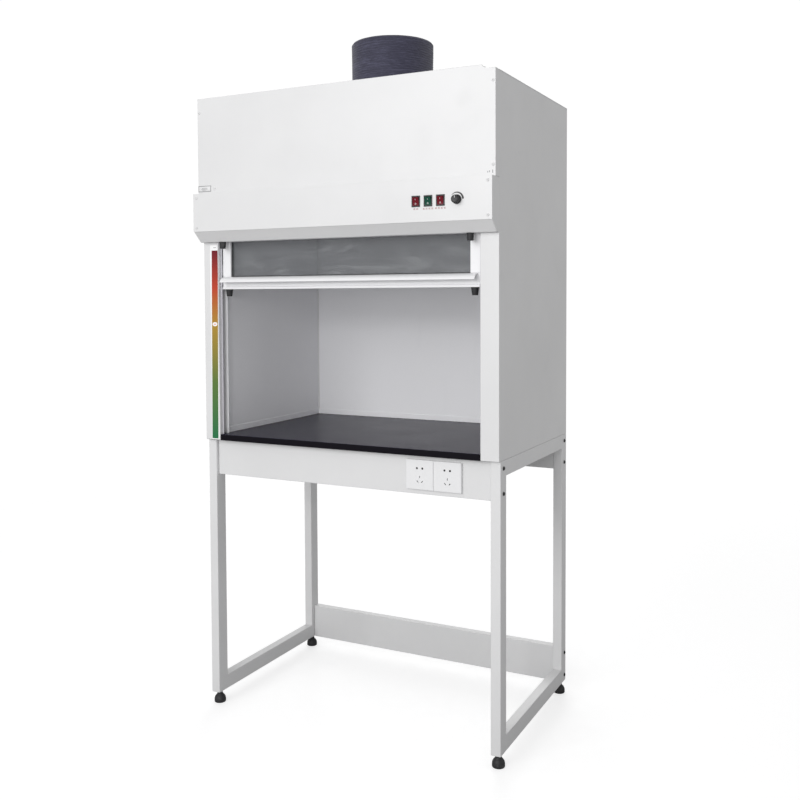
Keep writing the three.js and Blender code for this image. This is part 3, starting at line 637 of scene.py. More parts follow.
roof_low, roof_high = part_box("roof_panel")
roof_places = [(Vector((x, y, roof_high.z)), UPWARD)
               for x in (roof_low.x + inset, roof_high.x - inset)
               for y in along(roof_low.y + 40 * MM, roof_high.y - 14 * MM, 4)]
ROOF_SPAN = 340 * MM                        # from the middle to the outer back screws
roof_places += [(Vector((x, roof_high.y - inset, roof_high.z)), UPWARD)
                for x in along(-ROOF_SPAN, ROOF_SPAN, 3)]
fastened("roof_screws", cover_screw, white_coat, roof_places, 9)

# A small rating plate is stuck to the lower left corner of the head's cover, and an inspection tag to
# its lower right corner. Both are thin white sheet with plain printed lines and no words.
brushed_tint = (0.62, 0.63, 0.64)


def brushed(net):
    spot = net.place((1, 1, 40))
    line = net.noise(spot, 60, 4, 0.6)
    return {"Base Color": net.mix(line, brushed_tint, (0.50, 0.51, 0.52)),
            "Roughness": 0.28 + line * 0.2,
            "Normal": net.bump(line, 0.00003, 0.4)}


anodised = shade("anodised_sheet", brushed, metallic=0.8)
bm = bmesh.new()
PLATE_WIDE, PLATE_TALL, RULE_INSET, RULE_THICK = 50, 20, 0.8, 1.8       # in millimetres
rating_low = Vector((cover_low.x + 0.8 * MM, head_front - 0.7 * MM, cover_low.z + 7.5 * MM))
rating_high = rating_low + Vector((PLATE_WIDE, 0.6, PLATE_TALL)) * MM
block(bm, rating_low, rating_high, 0.25 * MM)
place_mesh("rating_plate", "cabinet", bm, white_coat)
bm = bmesh.new()
rule_right, rule_top = PLATE_WIDE - RULE_INSET, PLATE_TALL - RULE_INSET
border = [(RULE_INSET, rule_right, RULE_INSET, RULE_INSET + RULE_THICK),
          (RULE_INSET, rule_right, rule_top - RULE_THICK, rule_top),
          (RULE_INSET, RULE_INSET + RULE_THICK, RULE_INSET, rule_top),
          (rule_right - RULE_THICK, rule_right, RULE_INSET, rule_top)]
rules = [(14, 34, 11.4, 12.6), (12, 36, 8.4, 9.6), (16, 32, 5.4, 6.6)]
for x0, x1, z0, z1 in border + rules:
    corner = Vector((rating_low.x, rating_low.y - 0.06 * MM, rating_low.z))
    block(bm, corner + Vector((x0, 0, z0)) * MM, corner + Vector((x1, 0.1, z1)) * MM)
grey_ink = shade("grey_ink", moulded((0.24, 0.24, 0.25), 0.5, 900, 0.00001, 0.05))
place_mesh("rating_plate_lines", "cabinet", bm, grey_ink)
bm = bmesh.new()
tag_low = Vector((cover_high.x - 26 * MM, head_front - 0.15 * MM, cover_low.z + 5 * MM))
block(bm, tag_low, tag_low + Vector((20, 0.14, 13)) * MM)
place_mesh("inspection_tag", "cabinet", bm, white_coat)
bm = bmesh.new()
for x0, z0, z1 in ((2.5, 4, 8.5), (7.5, 4.5, 9.5), (16.5, 2.5, 11)):
    corner = tag_low - Vector((0, 0.06 * MM, 0))
    block(bm, corner + Vector((x0, 0, z0)) * MM, corner + Vector((x0 + 2, 0.1, z1)) * MM)
place_mesh("inspection_tag_marks", "cabinet", bm, grey_ink)

# ---------------------------------------------------------------- worktop
# One slab of solid black phenolic resin, 19 mm thick, set between the side panels. Its top is ground
# to a fine satin that shows wiped patches, and painted shade darkens every face that does not look up.
WORKTOP_EASE = 1.4 * MM


def resin_finish(net):
    spot = net.place()
    cloud = net.noise(spot, 3.1, 5, 0.6, 0.4)
    wiped = net.band(net.noise(spot, 6.5, 4, 0.6, 0.3), 0.45, 0.72)
    pore = net.node("ShaderNodeTexVoronoi", {"feature": "F1"}, {"Vector": spot, "Scale": 900}, out=0)
    # Painted shade: faces that do not look up get a darker base colour than the top.
    face = net.split(net.node("ShaderNodeNewGeometry", out="Normal"), "Z") > 0.5
    top = net.mix(cloud, (0.011, 0.009, 0.024), (0.018, 0.015, 0.037))
    return {"Base Color": net.mix(face, (0.004, 0.003, 0.006), top),
            "Roughness": 0.5 + cloud * 0.1,
            "Coat Weight": face * (0.38 + wiped * 0.08),
            "Normal": net.bump(pore, 0.00008, 0.3)}


resin = shade("black_resin", resin_finish, specular_ior_level=0.1, coat_roughness=0.22, coat_ior=1.53)
dressed("worktop", resin, fold=WORKTOP_EASE)


# ---------------------------------------------------------------- chamber lining
# Laminate boards in a pale grey, butted at the corners, with a skirting strip along the foot. A bead of
# white sealant closes the upright back corners and the joints under the ceiling.
def laminate(net):
    spot = net.place()
    cloud = net.noise(spot, 1.7, 4, 0.6)
    fleck = net.band(net.noise(spot, 620, 2, 0.5), 0.55, 0.75)
    run = net.band(net.noise(net.place((6, 6, 0.5)), 5, 4, 0.6), 0.55, 0.8)
    board = net.mix(cloud, (0.90, 0.90, 0.92), (0.87, 0.87, 0.89))
    return {"Base Color": net.mix(fleck * 0.35 + run * 0.12, board, (0.78, 0.78, 0.81)),
            "Roughness": 0.34 + cloud * 0.12 + fleck * 0.1,
            "Normal": net.bump(net.noise(spot, 900, 2), 0.00006, 0.35)}


lining = shade("laminate_lining", laminate)
for board in ("liner_left", "liner_right", "liner_back", "ceiling_liner"):
    dressed(board, lining, edge=0.0005)
dressed("lamp_housing", white_coat, fold=0.0012)

sealant = shade("white_sealant", moulded((0.72, 0.72, 0.72), 0.42, 260, 0.0002, 0.05))
back_face_of_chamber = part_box("liner_back")[0].y
wall_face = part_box("liner_right")[0].x
skirting_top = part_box("worktop")[1].z + 18.3 * MM
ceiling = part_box("ceiling_liner")[0].z
BEAD = 2.2 * MM


def bead(bm, start, end):
    """A quarter-round of sealant from start to end, both in a corner of the chamber."""
    start, end = Vector(start), Vector(end)
    way = (end - start).normalized()
    across = [Vector(a) for a in ((1, 0, 0), (0, 1, 0), (0, 0, 1)) if abs(Vector(a).dot(way)) < 0.5]
    rings = []
    for spot in (start, end):
        ring = []
        for i in range(8):
            turn = 2 * math.pi * i / 8
            reach = across[0] * math.cos(turn) + across[1] * math.sin(turn)
            ring.append(bm.verts.new(spot + BEAD * reach))
        rings.append(ring)
    for i in range(8):
        j = (i + 1) % 8
        bm.faces.new((rings[0][i], rings[0][j], rings[1][j], rings[1][i]))
    bm.faces.new(rings[0])
    bm.faces.new(rings[1])


bm = bmesh.new()
front_of_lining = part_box("liner_right")[0].y + 14 * MM
for side in (-1, 1):
    bead(bm, (side * wall_face, back_face_of_chamber, skirting_top),
         (side * wall_face, back_face_of_chamber, ceiling - BEAD))
    bead(bm, (side * wall_face, front_of_lining, ceiling), (side * wall_face, back_face_of_chamber, ceiling))
bead(bm, (-wall_face, back_face_of_chamber, ceiling), (wall_face, back_face_of_chamber, ceiling))
bmesh.ops.recalc_face_normals(bm, faces=bm.faces)
place_mesh("corner_sealant", "cabinet", bm, sealant)

# A fluorescent tube hangs in the housing over a slot in the ceiling, between two plastic holders. Its
# ends have metal caps, and its glass greys towards them.
lamp_low, lamp_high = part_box("lamp_housing")
lamp_y = (lamp_low.y + lamp_high.y) / 2
lamp_z = lamp_high.z - 20 * MM
tube_end = lamp_high.x - 26 * MM


def tube_glass(net):
    spot = net.place()
    ends = net.band(net.node("ShaderNodeMath", {"operation": "ABSOLUTE"}, {0: net.split(spot, "X")}),
                    tube_end - 50 * MM, tube_end - 10 * MM)
    return {"Base Color": net.mix(ends, (0.86, 0.87, 0.88), (0.42, 0.41, 0.40)),
            "Roughness": 0.16 + net.noise(spot, 40) * 0.08}


lit_tube = shade("lamp_tube_glass", tube_glass, emission_color=(0.95, 0.98, 1, 1), emission_strength=0.35)
bm = bmesh.new()
spun(bm, eased([(0, -tube_end), (8 * MM, -tube_end), (8 * MM, tube_end), (0, tube_end)], 2 * MM),
     (0, lamp_y, lamp_z), "X", 40)
place_mesh("lamp_tube", "cabinet", bm, lit_tube)
bm = bmesh.new()
for side in (-1, 1):
    spun(bm, eased([(0, -9 * MM), (8.4 * MM, -9 * MM), (8.4 * MM, 9 * MM), (0, 9 * MM)], 0.8 * MM),
         (side * (tube_end - 3 * MM), lamp_y, lamp_z), "X", 40)
place_mesh("lamp_tube_caps", "cabinet", bm, anodised)
white_plastic = shade("white_plastic", moulded((0.80, 0.80, 0.81), 0.30, 420, 0.00004, 0.04),
                      coat_weight=0.1)
bm = bmesh.new()
for side in (-1, 1):
    near, far = sorted((side * (tube_end + 6.5 * MM), side * (tube_end + 18 * MM)))
    block(bm, (near, lamp_y - 12 * MM, lamp_z - 11 * MM),
          (far, lamp_y + 12 * MM, lamp_high.z - 2 * MM), 1.5 * MM)
place_mesh("lamp_holders", "cabinet", bm, white_plastic)


# ---------------------------------------------------------------- glass
# Two clear panes of toughened glass: the upper one is fixed behind the sash, and the other slides with
# it. Both carry a trace of wiping, in low wide streaks.
def clear_pane(net):
    spot = net.place()
    wipe = net.band(net.noise(net.place((1.4, 1, 5), (0.3, 0, 0)), 3.5, 5, 0.7, 1.5), 0.45, 0.85)
    return {"Base Color": net.mix(wipe, (0.17, 0.18, 0.19), (0.42, 0.44, 0.45)),
            "Roughness": 0.03 + wipe * 0.07,
            "Alpha": 0.20 + wipe * 0.05 + net.noise(spot, 300) * 0.02}


pane = shade("clear_glass", clear_pane, ior=1.5)
dressed("transom_glass", pane, fold=0.0008)
dressed("sash_glass", pane, fold=0.0008)


# ---------------------------------------------------------------- sash
# White-coated aluminium: two grooved stiles, a top rail, and a bottom rail drawn with a finger lip.
# A black rubber gasket holds the pane in the grooves, and rubber buffers soften both ends of travel.
def coated_extrusion(net):
    spot = net.place()
    die = net.noise(net.place((0.6, 60, 60)), 14, 3, 0.6)
    rub = net.band(net.noise(spot, 24, 5, 0.7), 0.55, 0.8)
    return {"Base Color": net.mix(rub * 0.6, (0.84, 0.84, 0.855), (0.74, 0.74, 0.76)),
            "Roughness": 0.26 + die * 0.10 + rub * 0.1,
            "Normal": net.bump(die, 0.00004, 0.4)}


extrusion = shade("white_coated_aluminium", coated_extrusion, coat_weight=0.2, coat_roughness=0.15)
for bar in ("sash_stile_left", "sash_stile_right", "sash_top_rail", "sash_handle_rail", "sash_track_left",
            "sash_track_right"):
    dressed(bar, extrusion, fold=0.0009, edge=0.00025, smooth=28)

glass_low, glass_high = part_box("sash_glass")
stile_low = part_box("sash_stile_right")[0]
rail_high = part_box("sash_handle_rail")[1]
top_low, top_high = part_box("sash_top_rail")
LAP = 2.5 * MM                              # how far the gasket covers the pane
opening_half = stile_low.x + 0.2 * MM
opening_low, opening_high = rail_high.z, top_low.z


def gasket(bm, front, back):
    """A rubber strip round the daylight of the pane, thinner towards its inner lip."""
    section = [(0, front), (0, back), (-LAP * 0.8, back), (-LAP, (front + back) / 2), (-LAP * 0.8, front)]
    corners = [(-1, 0), (1, 0), (1, 1), (-1, 1)]
    loops = []
    for side, top in corners:
        loop = []
        for inward, y in section:
            x = side * (opening_half + inward)
            z = (opening_high + inward) if top else (opening_low - inward)
            loop.append(bm.verts.new((x, y, z)))
        loops.append(loop)
    for loop, following in zip(loops, loops[1:] + loops[:1]):
        for i in range(len(section)):
            j = (i + 1) % len(section)
            bm.faces.new((loop[i], loop[j], following[j], following[i]))


bm = bmesh.new()
gasket(bm, glass_low.y - 2.2 * MM, glass_low.y - 0.1 * MM)
gasket(bm, glass_high.y + 0.1 * MM, glass_high.y + 1.8 * MM)
bmesh.ops.recalc_face_normals(bm, faces=bm.faces)
place_mesh("sash_gasket", "sash", bm, black_rubber)

for side in ("left", "right"):
    for node, top_radius, foot_radius in ((f"sash_bumper_{side}", 11.5 * MM, 8.5 * MM),
                                          (f"sash_stop_{side}", 10.5 * MM, 9 * MM)):
        low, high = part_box(node)
        centre = ((low.x + high.x) / 2, (low.y + high.y) / 2, 0)
        hollow = [(0, low.z + 3 * MM), (2.6 * MM, low.z + 3 * MM), (3.2 * MM, low.z)]
        skirt = [(foot_radius, low.z), (top_radius - 0.6 * MM, high.z - 3 * MM),
                 (top_radius, high.z - 1.2 * MM), (top_radius, high.z), (0, high.z)]
        bm = bmesh.new()
        spun(bm, eased(hollow + skirt, 0.9 * MM), centre)
        place_mesh(node + "_skin", body_of_node[node], bm, black_rubber, [node])

# ---------------------------------------------------------------- counterbalance
# Cast iron blocks hang inside the side walls and balance the sash over two grooved nylon wheels. The beam
# that carries the wheels is zinc-plated sheet, and each rope is stranded wire with crimped ends.
black_nylon = shade("black_nylon", moulded((0.018, 0.018, 0.020), 0.40, 500, 0.00005, 0.12))
cast_tint = (0.16, 0.16, 0.17)


def cast_skin(net):
    spot = net.place()
    pit = net.noise(spot, 210, 5, 0.7)
    rust = net.band(net.noise(spot, 12, 5, 0.65), 0.6, 0.8)
    return {"Base Color": net.mix(rust * 0.5, cast_tint, (0.17, 0.10, 0.07)),
            "Roughness": 0.55 + pit * 0.2,
            "Normal": net.bump(pit, 0.0003, 0.5)}


cast_iron = shade("cast_weight_iron", cast_skin, metallic=0.5)
dressed("pulley_beam", zinc, fold=0.0008)
WIRE, STRANDS, LAY_LENGTH, WIRE_STEP = 1.5 * MM, 6, 18 * MM, 4 * MM
HANGER_DROP = 114.7 * MM                    # from the sash's top to the rope's lower end


def rope(name, path, strands=STRANDS):
    """Wire rope along a path in a plane of constant X: a lobed section that turns with its lay."""
    points = [Vector(path[0])]
    for start, end in zip(path, path[1:]):
        start, end = Vector(start), Vector(end)
        count = max(1, round((end - start).length / WIRE_STEP))
        points += [start.lerp(end, i / count) for i in range(1, count + 1)]
    bm = bmesh.new()
    across, length, loops, sides = Vector((1, 0, 0)), 0.0, [], 2 * strands
    for i, point in enumerate(points):
        ahead = points[min(i + 1, len(points) - 1)] - points[max(i - 1, 0)]
        normal = across.cross(ahead.normalized())
        length += (point - points[i - 1]).length if i else 0
        loop = []
        for k in range(sides):
            angle = 2 * math.pi * k / sides + 2 * math.pi * length / LAY_LENGTH
            reach = WIRE * (1.0 if k % 2 else 0.84)
            loop.append(bm.verts.new(point + reach * (across * math.cos(angle) + normal * math.sin(angle))))
        loops.append(loop)
    for lower, upper in zip(loops, loops[1:]):
        for k in range(sides):
            j = (k + 1) % sides
            bm.faces.new((lower[k], lower[j], upper[j], upper[k]))
    bm.faces.new(loops[0])
    bm.faces.new(loops[-1])
    bmesh.ops.recalc_face_normals(bm, faces=bm.faces)
    mesh = bpy.data.meshes.new(name)
    bm.to_mesh(mesh)
    bm.free()
    return new_object(name, mesh, zinc)


CRIMP = [(0, 0), (3.1 * MM, 0), (3.1 * MM, 15 * MM), (1.9 * MM, 17 * MM), (0, 17 * MM)]
for side in ("left", "right"):
    dressed(f"sash_pulley_{side}", black_nylon, edge=0.0004)
    dressed(f"counterweight_{side}", cast_iron, fold=0.002)
    low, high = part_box(f"sash_cable_{side}")
    wheel_low, wheel_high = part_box(f"sash_pulley_{side}")
    x = (low.x + high.x) / 2
    hub = Vector((x, (wheel_low.y + wheel_high.y) / 2, (wheel_low.z + wheel_high.z) / 2))
    wrap = (high.y - low.y) / 2 - WIRE
    hanger_top = Vector((x, low.y + WIRE, top_high.z - HANGER_DROP))
    eye = Vector((x, high.y - WIRE, low.z))
    over = [hub + wrap * Vector((0, -math.cos(a), math.sin(a))) for a in along(0, math.pi, 25)]
    sash_run = rope(f"sash_rope_{side}", [over[0], hanger_top])
    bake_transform(sash_run)
    wheel_run = rope(f"wheel_rope_{side}", over)
    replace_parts(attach(wheel_run, "cabinet"), f"sash_cable_{side}")
    weight_run = rope(f"weight_rope_{side}", [over[-1], eye])
    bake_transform(weight_run)
    for name, body, spot in ((f"sash_crimp_{side}", "sash", hanger_top),
                             (f"weight_crimp_{side}", f"counterweight_{side}", eye)):
        bm = bmesh.new()
        spun(bm, eased(CRIMP, 0.8 * MM), spot, steps=24)
        place_mesh(name, body, bm, anodised)

# ---------------------------------------------------------------- fan and duct
# An in-line axial fan: a rolled steel housing with turned flanges, a finned motor held by a sheet
# spider, and a moulded impeller. The spigot on the roof is screwed down over a bead of sealant.
low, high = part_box("fan_housing")
duct_centre = Vector(((low.x + high.x) / 2, (low.y + high.y) / 2, 0))
flange, bore, wall, turned_edge = high.x, 124 * MM, 2 * MM, 2 * MM
bm = bmesh.new()
spun(bm, eased([(bore, low.z), (flange, low.z), (flange, low.z + turned_edge),
                (bore + wall, low.z + turned_edge), (bore + wall, high.z - turned_edge),
                (flange, high.z - turned_edge), (flange, high.z), (bore, high.z)], 0.5 * MM),
     duct_centre, steps=96, closed=True)
place_mesh("fan_housing_skin", "cabinet", bm, zinc, ["fan_housing"])

low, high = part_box("fan_motor")
can_top = high.z
can_foot = can_top - 98 * MM
can = [(0, low.z), (5 * MM, low.z), (5 * MM, can_foot), (38 * MM, can_foot), (42 * MM, can_foot + 4 * MM)]
for fin in range(11):
    foot_of_fin = can_foot + (10 + 7 * fin) * MM
    can += [(42 * MM, foot_of_fin), (38.6 * MM, foot_of_fin + 1 * MM), (38.6 * MM, foot_of_fin + 3.4 * MM),
            (42 * MM, foot_of_fin + 4.4 * MM)]
can += [(42 * MM, can_top - 7 * MM), (35 * MM, can_top), (0, can_top)]
motor_grey = shade("motor_enamel", moulded((0.085, 0.09, 0.095), 0.38, 300, 0.00012, 0.18),
                   coat_weight=0.2)
bm = bmesh.new()
spun(bm, eased(can, 0.5 * MM, 2), duct_centre, steps=72)
place_mesh("fan_motor_skin", "cabinet", bm, motor_grey, ["fan_motor"])
bm = bmesh.new()
arm_low, arm_high, reach, half = can_foot + 20 * MM, can_foot + 50 * MM, bore - 0.4 * MM, 1.5 * MM
for side in (-1, 1):
    near, far = sorted((side * 40 * MM, side * reach))
    block(bm, (near, duct_centre.y - half, arm_low), (far, duct_centre.y + half, arm_high), 0.4 * MM)
    block(bm, (-half, duct_centre.y + near, arm_low), (half, duct_centre.y + far, arm_high), 0.4 * MM)
place_mesh("fan_spider", "cabinet", bm, zinc)
dressed("fan_impeller", black_nylon, edge=0.0006, smooth=38)

low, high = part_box("duct_spigot")
collar, collar_bore, flange = 124.5 * MM, 122.5 * MM, high.x
bm = bmesh.new()
spun(bm, eased([(collar_bore, low.z), (flange, low.z), (flange, low.z + 2 * MM), (collar, low.z + 2 * MM),
                (collar, high.z), (collar_bore, high.z)], 0.6 * MM), duct_centre, steps=96, closed=True)
place_mesh("duct_spigot_skin", "cabinet", bm, zinc, ["duct_spigot"])
SCREW_CIRCLE = 139 * MM
spigot_places = []
for angle in along(math.pi / 8, 2 * math.pi - math.pi / 8, 8):
    spot = duct_centre + SCREW_CIRCLE * Vector((math.cos(angle), math.sin(angle), 0))
    spot.z = low.z + 2 * MM
    spigot_places.append((spot, UPWARD))
fastened("spigot_screws", cover_screw, zinc, spigot_places, 11)
bm = bmesh.new()
SEAL = 1.6 * MM
sealing = [(flange + SEAL * math.cos(a), low.z + SEAL * math.sin(a)) for a in along(-0.2, math.pi, 7)]
spun(bm, sealing, duct_centre, steps=96, closed=True)
place_mesh("spigot_sealant", "cabinet", bm, sealant)

low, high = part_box("cable_gland")
centre = ((low.x + high.x) / 2, (low.y + high.y) / 2, high.z - 26 * MM)
gland = [(4 * MM, -14 * MM), (8 * MM, -14 * MM), (8 * MM, 0), (12.8 * MM, 0), (13 * MM, 0.6 * MM, 6),
         (13 * MM, 6.4 * MM, 6), (11.4 * MM, 8 * MM), (10.8 * MM, 8.6 * MM), (10.9 * MM, 9 * MM, 8),
         (10.9 * MM, 19 * MM, 8), (9.8 * MM, 21 * MM), (7 * MM, 26 * MM), (4 * MM, 26 * MM)]
bm = bmesh.new()
spun(bm, gland, centre, steps=48, closed=True)
place_mesh("cable_gland_skin", "cabinet", bm, black_nylon, ["cable_gland"])


# The sleeve is the end of a flexible hose: navy-black coated cloth over a fine spring wire, so that it
# stands up in close ribs and is never quite round. A worm-drive band clamps its foot to the spigot.
def sleeve_tree():
    """A tube whose wall goes up the outside and down the inside, ribbed, waisted and uneven."""
    tree = bpy.data.node_groups.new("ribbed_sleeve", "GeometryNodeTree")
    tree.interface.new_socket("Geometry", in_out="INPUT", socket_type="NodeSocketGeometry")
    names = ("Radius", "Wall", "Foot", "Height", "Rib", "Pitch", "Waist", "Unevenness")
    for label in names:
        tree.interface.new_socket(label, in_out="INPUT", socket_type="NodeSocketFloat")
    tree.interface.new_socket("Finish", in_out="INPUT", socket_type="NodeSocketMaterial")
    tree.interface.new_socket("Geometry", in_out="OUTPUT", socket_type="NodeSocketGeometry")
    net = Net(tree)
    given = {label: net.node("NodeGroupInput", out=label) for label in (*names, "Finish")}

    def math_of(operation, *values):
        return net.node("ShaderNodeMath", {"operation": operation}, dict(enumerate(values)))

    grid = net.node("GeometryNodeMeshGrid", {}, {"Size X": 1.0, "Size Y": 1.0, "Vertices X": 97,
                                                 "Vertices Y": 361})
    spot = net.node("GeometryNodeInputPosition")
    angle = (net.split(spot, "X") + 0.5) * (2 * math.pi)
    round_wall = net.split(spot, "Y") + 0.5
    rise = 1 - math_of("ABSOLUTE", round_wall * 2 - 1)
    steep = math_of("SINE", round_wall * (2 * math.pi)) * 14
    outward = math_of("MINIMUM", math_of("MAXIMUM", steep, -1.0), 1.0)
    height = rise * given["Height"]
    ribs = math_of("SINE", height * (2 * math.pi) / given["Pitch"]) * given["Rib"]
    waist = math_of("SINE", rise * math.pi) * given["Waist"]
    east, north = math_of("COSINE", angle), math_of("SINE", angle)
    lump = net.node("ShaderNodeCombineXYZ", {}, {0: east, 1: north, 2: rise * 0.8})
    bulge = (net.noise(lump, 1.7, 2) - 0.5) * given["Unevenness"]
    radius = given["Radius"] - given["Wall"] * 0.5 + outward * given["Wall"] * 0.5 + ribs - waist + bulge
    shaped = net.node("ShaderNodeCombineXYZ", {}, {0: east * radius, 1: north * radius + duct_centre.y,
                                                   2: given["Foot"] + height})
    tube = net.node("GeometryNodeSetPosition", {}, {"Geometry": grid, "Position": shaped})
    closed = net.node("GeometryNodeMergeByDistance", {}, {"Geometry": tube, "Distance": 0.00003})
    smooth = net.node("GeometryNodeSetShadeSmooth", {}, {"Geometry": closed, "Shade Smooth": True})
    solid = net.node("GeometryNodeRealizeInstances", {}, {0: smooth})
    painted = net.node("GeometryNodeSetMaterial", {}, {"Geometry": solid, "Material": given["Finish"]})
    output = tree.nodes.new("NodeGroupOutput")
    tree.links.new(painted.socket, output.inputs["Geometry"])
    return tree


def hose_cloth(net):
    """Horizontal strands of different blues and greys, broken into short lengths, under a dusty bloom."""
    strand = net.noise(net.place((7, 7, 380)), 1.0, 4, 0.7)
    fibre = net.noise(net.place((42, 42, 620), (3, 1, 2)), 1.0, 4, 0.7)
    patch = net.noise(net.place(), 9, 4, 0.6)
    pale = net.band(fibre * 0.75 + strand * 0.35, 0.50, 0.70)
    deep = net.mix(patch, (0.014, 0.013, 0.032), (0.034, 0.033, 0.064))
    return {"Base Color": net.mix(pale * 0.7, deep, (0.095, 0.094, 0.155)),
            "Roughness": 0.62 + fibre * 0.2,
            "Normal": net.bump(strand * 0.4 + fibre * 0.8, 0.0012, 0.8)}


hose = shade("navy_hose_cloth", hose_cloth, sheen_weight=0.25, sheen_roughness=0.5)
low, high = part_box("duct_sleeve")
seed_mesh = bpy.data.meshes.new("duct_hose")
seed_mesh.from_pydata([(0, 0, 0)], [], [])
sleeve = settled(new_object("duct_hose_seed", seed_mesh), sleeve_tree(),
                 {"Radius": high.x + 1.5 * MM, "Wall": 6 * MM, "Foot": low.z, "Height": high.z - low.z,
                  "Rib": 0.45 * MM, "Pitch": 7.3 * MM, "Waist": 1.2 * MM, "Unevenness": 5 * MM,
                  "Finish": hose},
                 "duct_hose", "cabinet")
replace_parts(sleeve, "duct_sleeve")

band_low, band_high, band_radius = low.z + 5 * MM, low.z + 14 * MM, high.x + 1.2 * MM
bm = bmesh.new()
spun(bm, eased([(band_radius, band_low), (band_radius + 0.9 * MM, band_low + 0.4 * MM),
                (band_radius + 0.9 * MM, band_high - 0.4 * MM), (band_radius, band_high)], 0.3 * MM),
     duct_centre, steps=96, closed=True)
EIGHTH_TURN = 0.7071                        # sine and cosine of 45 degrees
diagonal = band_radius * EIGHTH_TURN
worm = duct_centre + Vector((-diagonal, diagonal, (band_low + band_high) / 2))
worm_case = bmesh.new()
block(worm_case, (-11 * MM, -2.5 * MM, -6.5 * MM), (11 * MM, 5.5 * MM, 6.5 * MM), 1.2 * MM)
spun(worm_case, eased([(0, -13 * MM), (3.6 * MM, -13 * MM), (3.6 * MM, 15 * MM), (0, 15 * MM)], 0.6 * MM),
     (0, 3.2 * MM, 0), "X", 24)
worm_case.transform(Matrix.Translation(worm) @ Matrix.Rotation(math.radians(45), 4, "Z"))
case_mesh = bpy.data.meshes.new("worm_case")
worm_case.to_mesh(case_mesh)
worm_case.free()
bm.from_mesh(case_mesh)
place_mesh("hose_clamp", "cabinet", bm, anodised)

# ---------------------------------------------------------------- controls
# Three snap-in rocker switches and a ridged speed knob sit in a row on the control plate, with small
# printed marks beneath. Two square outlets are set in the front tray of the stand.
switch_black = shade("switch_black", moulded((0.012, 0.012, 0.014), 0.28, 600, 0.00003, 0.10))


def lens_plastic(tint, edge):
    def varying(net):
        spot = net.place()
        cloud = net.noise(spot, 160, 3)
        return {"Base Color": net.mix(cloud, tint, edge),
                "Roughness": 0.16 + cloud * 0.10,
                "Normal": net.bump(net.noise(spot, 420, 2), 0.00003, 0.3)}
    return varying


lens_red = shade("red_lens", lens_plastic((0.17, 0.004, 0.014), (0.10, 0.002, 0.008)),
                 specular_ior_level=0.3)
lens_green = shade("green_lens", lens_plastic((0.004, 0.072, 0.045), (0.002, 0.045, 0.028)),
                   specular_ior_level=0.3)
white_ink = shade("white_ink", moulded((0.75, 0.75, 0.75), 0.45, 900, 0.00001, 0.05))
red_ink = shade("red_ink", moulded((0.30, 0.040, 0.045), 0.45, 900, 0.00001, 0.05))
black_ink = shade("black_ink", moulded((0.015, 0.015, 0.015), 0.40, 900, 0.00001, 0.05))

ROCKER_TILT = math.radians(11)
FACET_RUN, FACET_FALL, FACET_MIDDLE, FACET_OUT = 11.2, 2.3, 5.8 * MM, 4.19 * MM
INK = 0.08 * MM


def flat_ring(bm, place, outer, inner, start, end, steps=40, taper=1.0):
    """A printed ring or arc in the plane that place maps (across, up) onto; taper thins its start."""
    loops = []
    for i in range(steps + 1):
        t = i / steps
        angle = start + (end - start) * t
        near = outer - (outer - inner) * (taper + (1 - taper) * t)
        loops.append([bm.verts.new(place(r * math.cos(angle), r * math.sin(angle), lift))
                      for r, lift in ((near, 0), (outer, 0), (outer, INK), (near, INK))])
    for first, second in zip(loops, loops[1:]):
        for k in range(4):
            j = (k + 1) % 4
            bm.faces.new((first[k], first[j], second[j], second[k]))
    if abs(abs(end - start) - 2 * math.pi) > 1e-6:
        bm.faces.new(loops[0])
        bm.faces.new(loops[-1])
    bmesh.ops.remove_doubles(bm, verts=bm.verts, dist=1e-7)
    bmesh.ops.recalc_face_normals(bm, faces=bm.faces)


for label, lens in (("fan", lens_red), ("lamp", lens_green), ("socket", lens_red)):
    dressed(f"switch_housing_{label}", switch_black, edge=0.0004)
    low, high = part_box(f"rocker_{label}")
    dressed(f"rocker_{label}", lens, fold=0.0005, edge=0.0)
    housing_low, housing_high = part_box(f"switch_housing_{label}")
    pivot = Vector(((low.x + high.x) / 2, plate_front + 0.5 * MM, (housing_low.z + housing_high.z) / 2))
    bm = bmesh.new()
    for half in (1, -1):
        facet = math.atan2(FACET_FALL, FACET_RUN) * half

        def on_facet(across, up, lift, half=half, facet=facet):
            rise = half * FACET_MIDDLE + up * math.cos(facet)
            out = FACET_OUT + INK + lift + up * math.sin(facet)
            return pivot + Vector((across, -(out * math.cos(ROCKER_TILT) + rise * math.sin(ROCKER_TILT)),
                                   rise * math.cos(ROCKER_TILT) - out * math.sin(ROCKER_TILT)))

        if half == 1:
            bar = [on_facet(x * MM, z * MM, lift)
                   for x, z in ((-0.45, -2), (0.45, -2), (0.45, 2), (-0.45, 2)) for lift in (0, INK)]
            corners = [bm.verts.new(p) for p in bar]
            bottom, top = corners[0::2], corners[1::2]
            bm.faces.new(bottom)
            bm.faces.new(top)
            for k in range(4):
                bm.faces.new((bottom[k], bottom[(k + 1) % 4], top[(k + 1) % 4], top[k]))
        else:
            flat_ring(bm, on_facet, 2.1 * MM, 1.3 * MM, 0, 2 * math.pi)
    bmesh.ops.recalc_face_normals(bm, faces=bm.faces)
    place_mesh(f"rocker_marks_{label}", f"{label}_rocker", bm, white_ink)

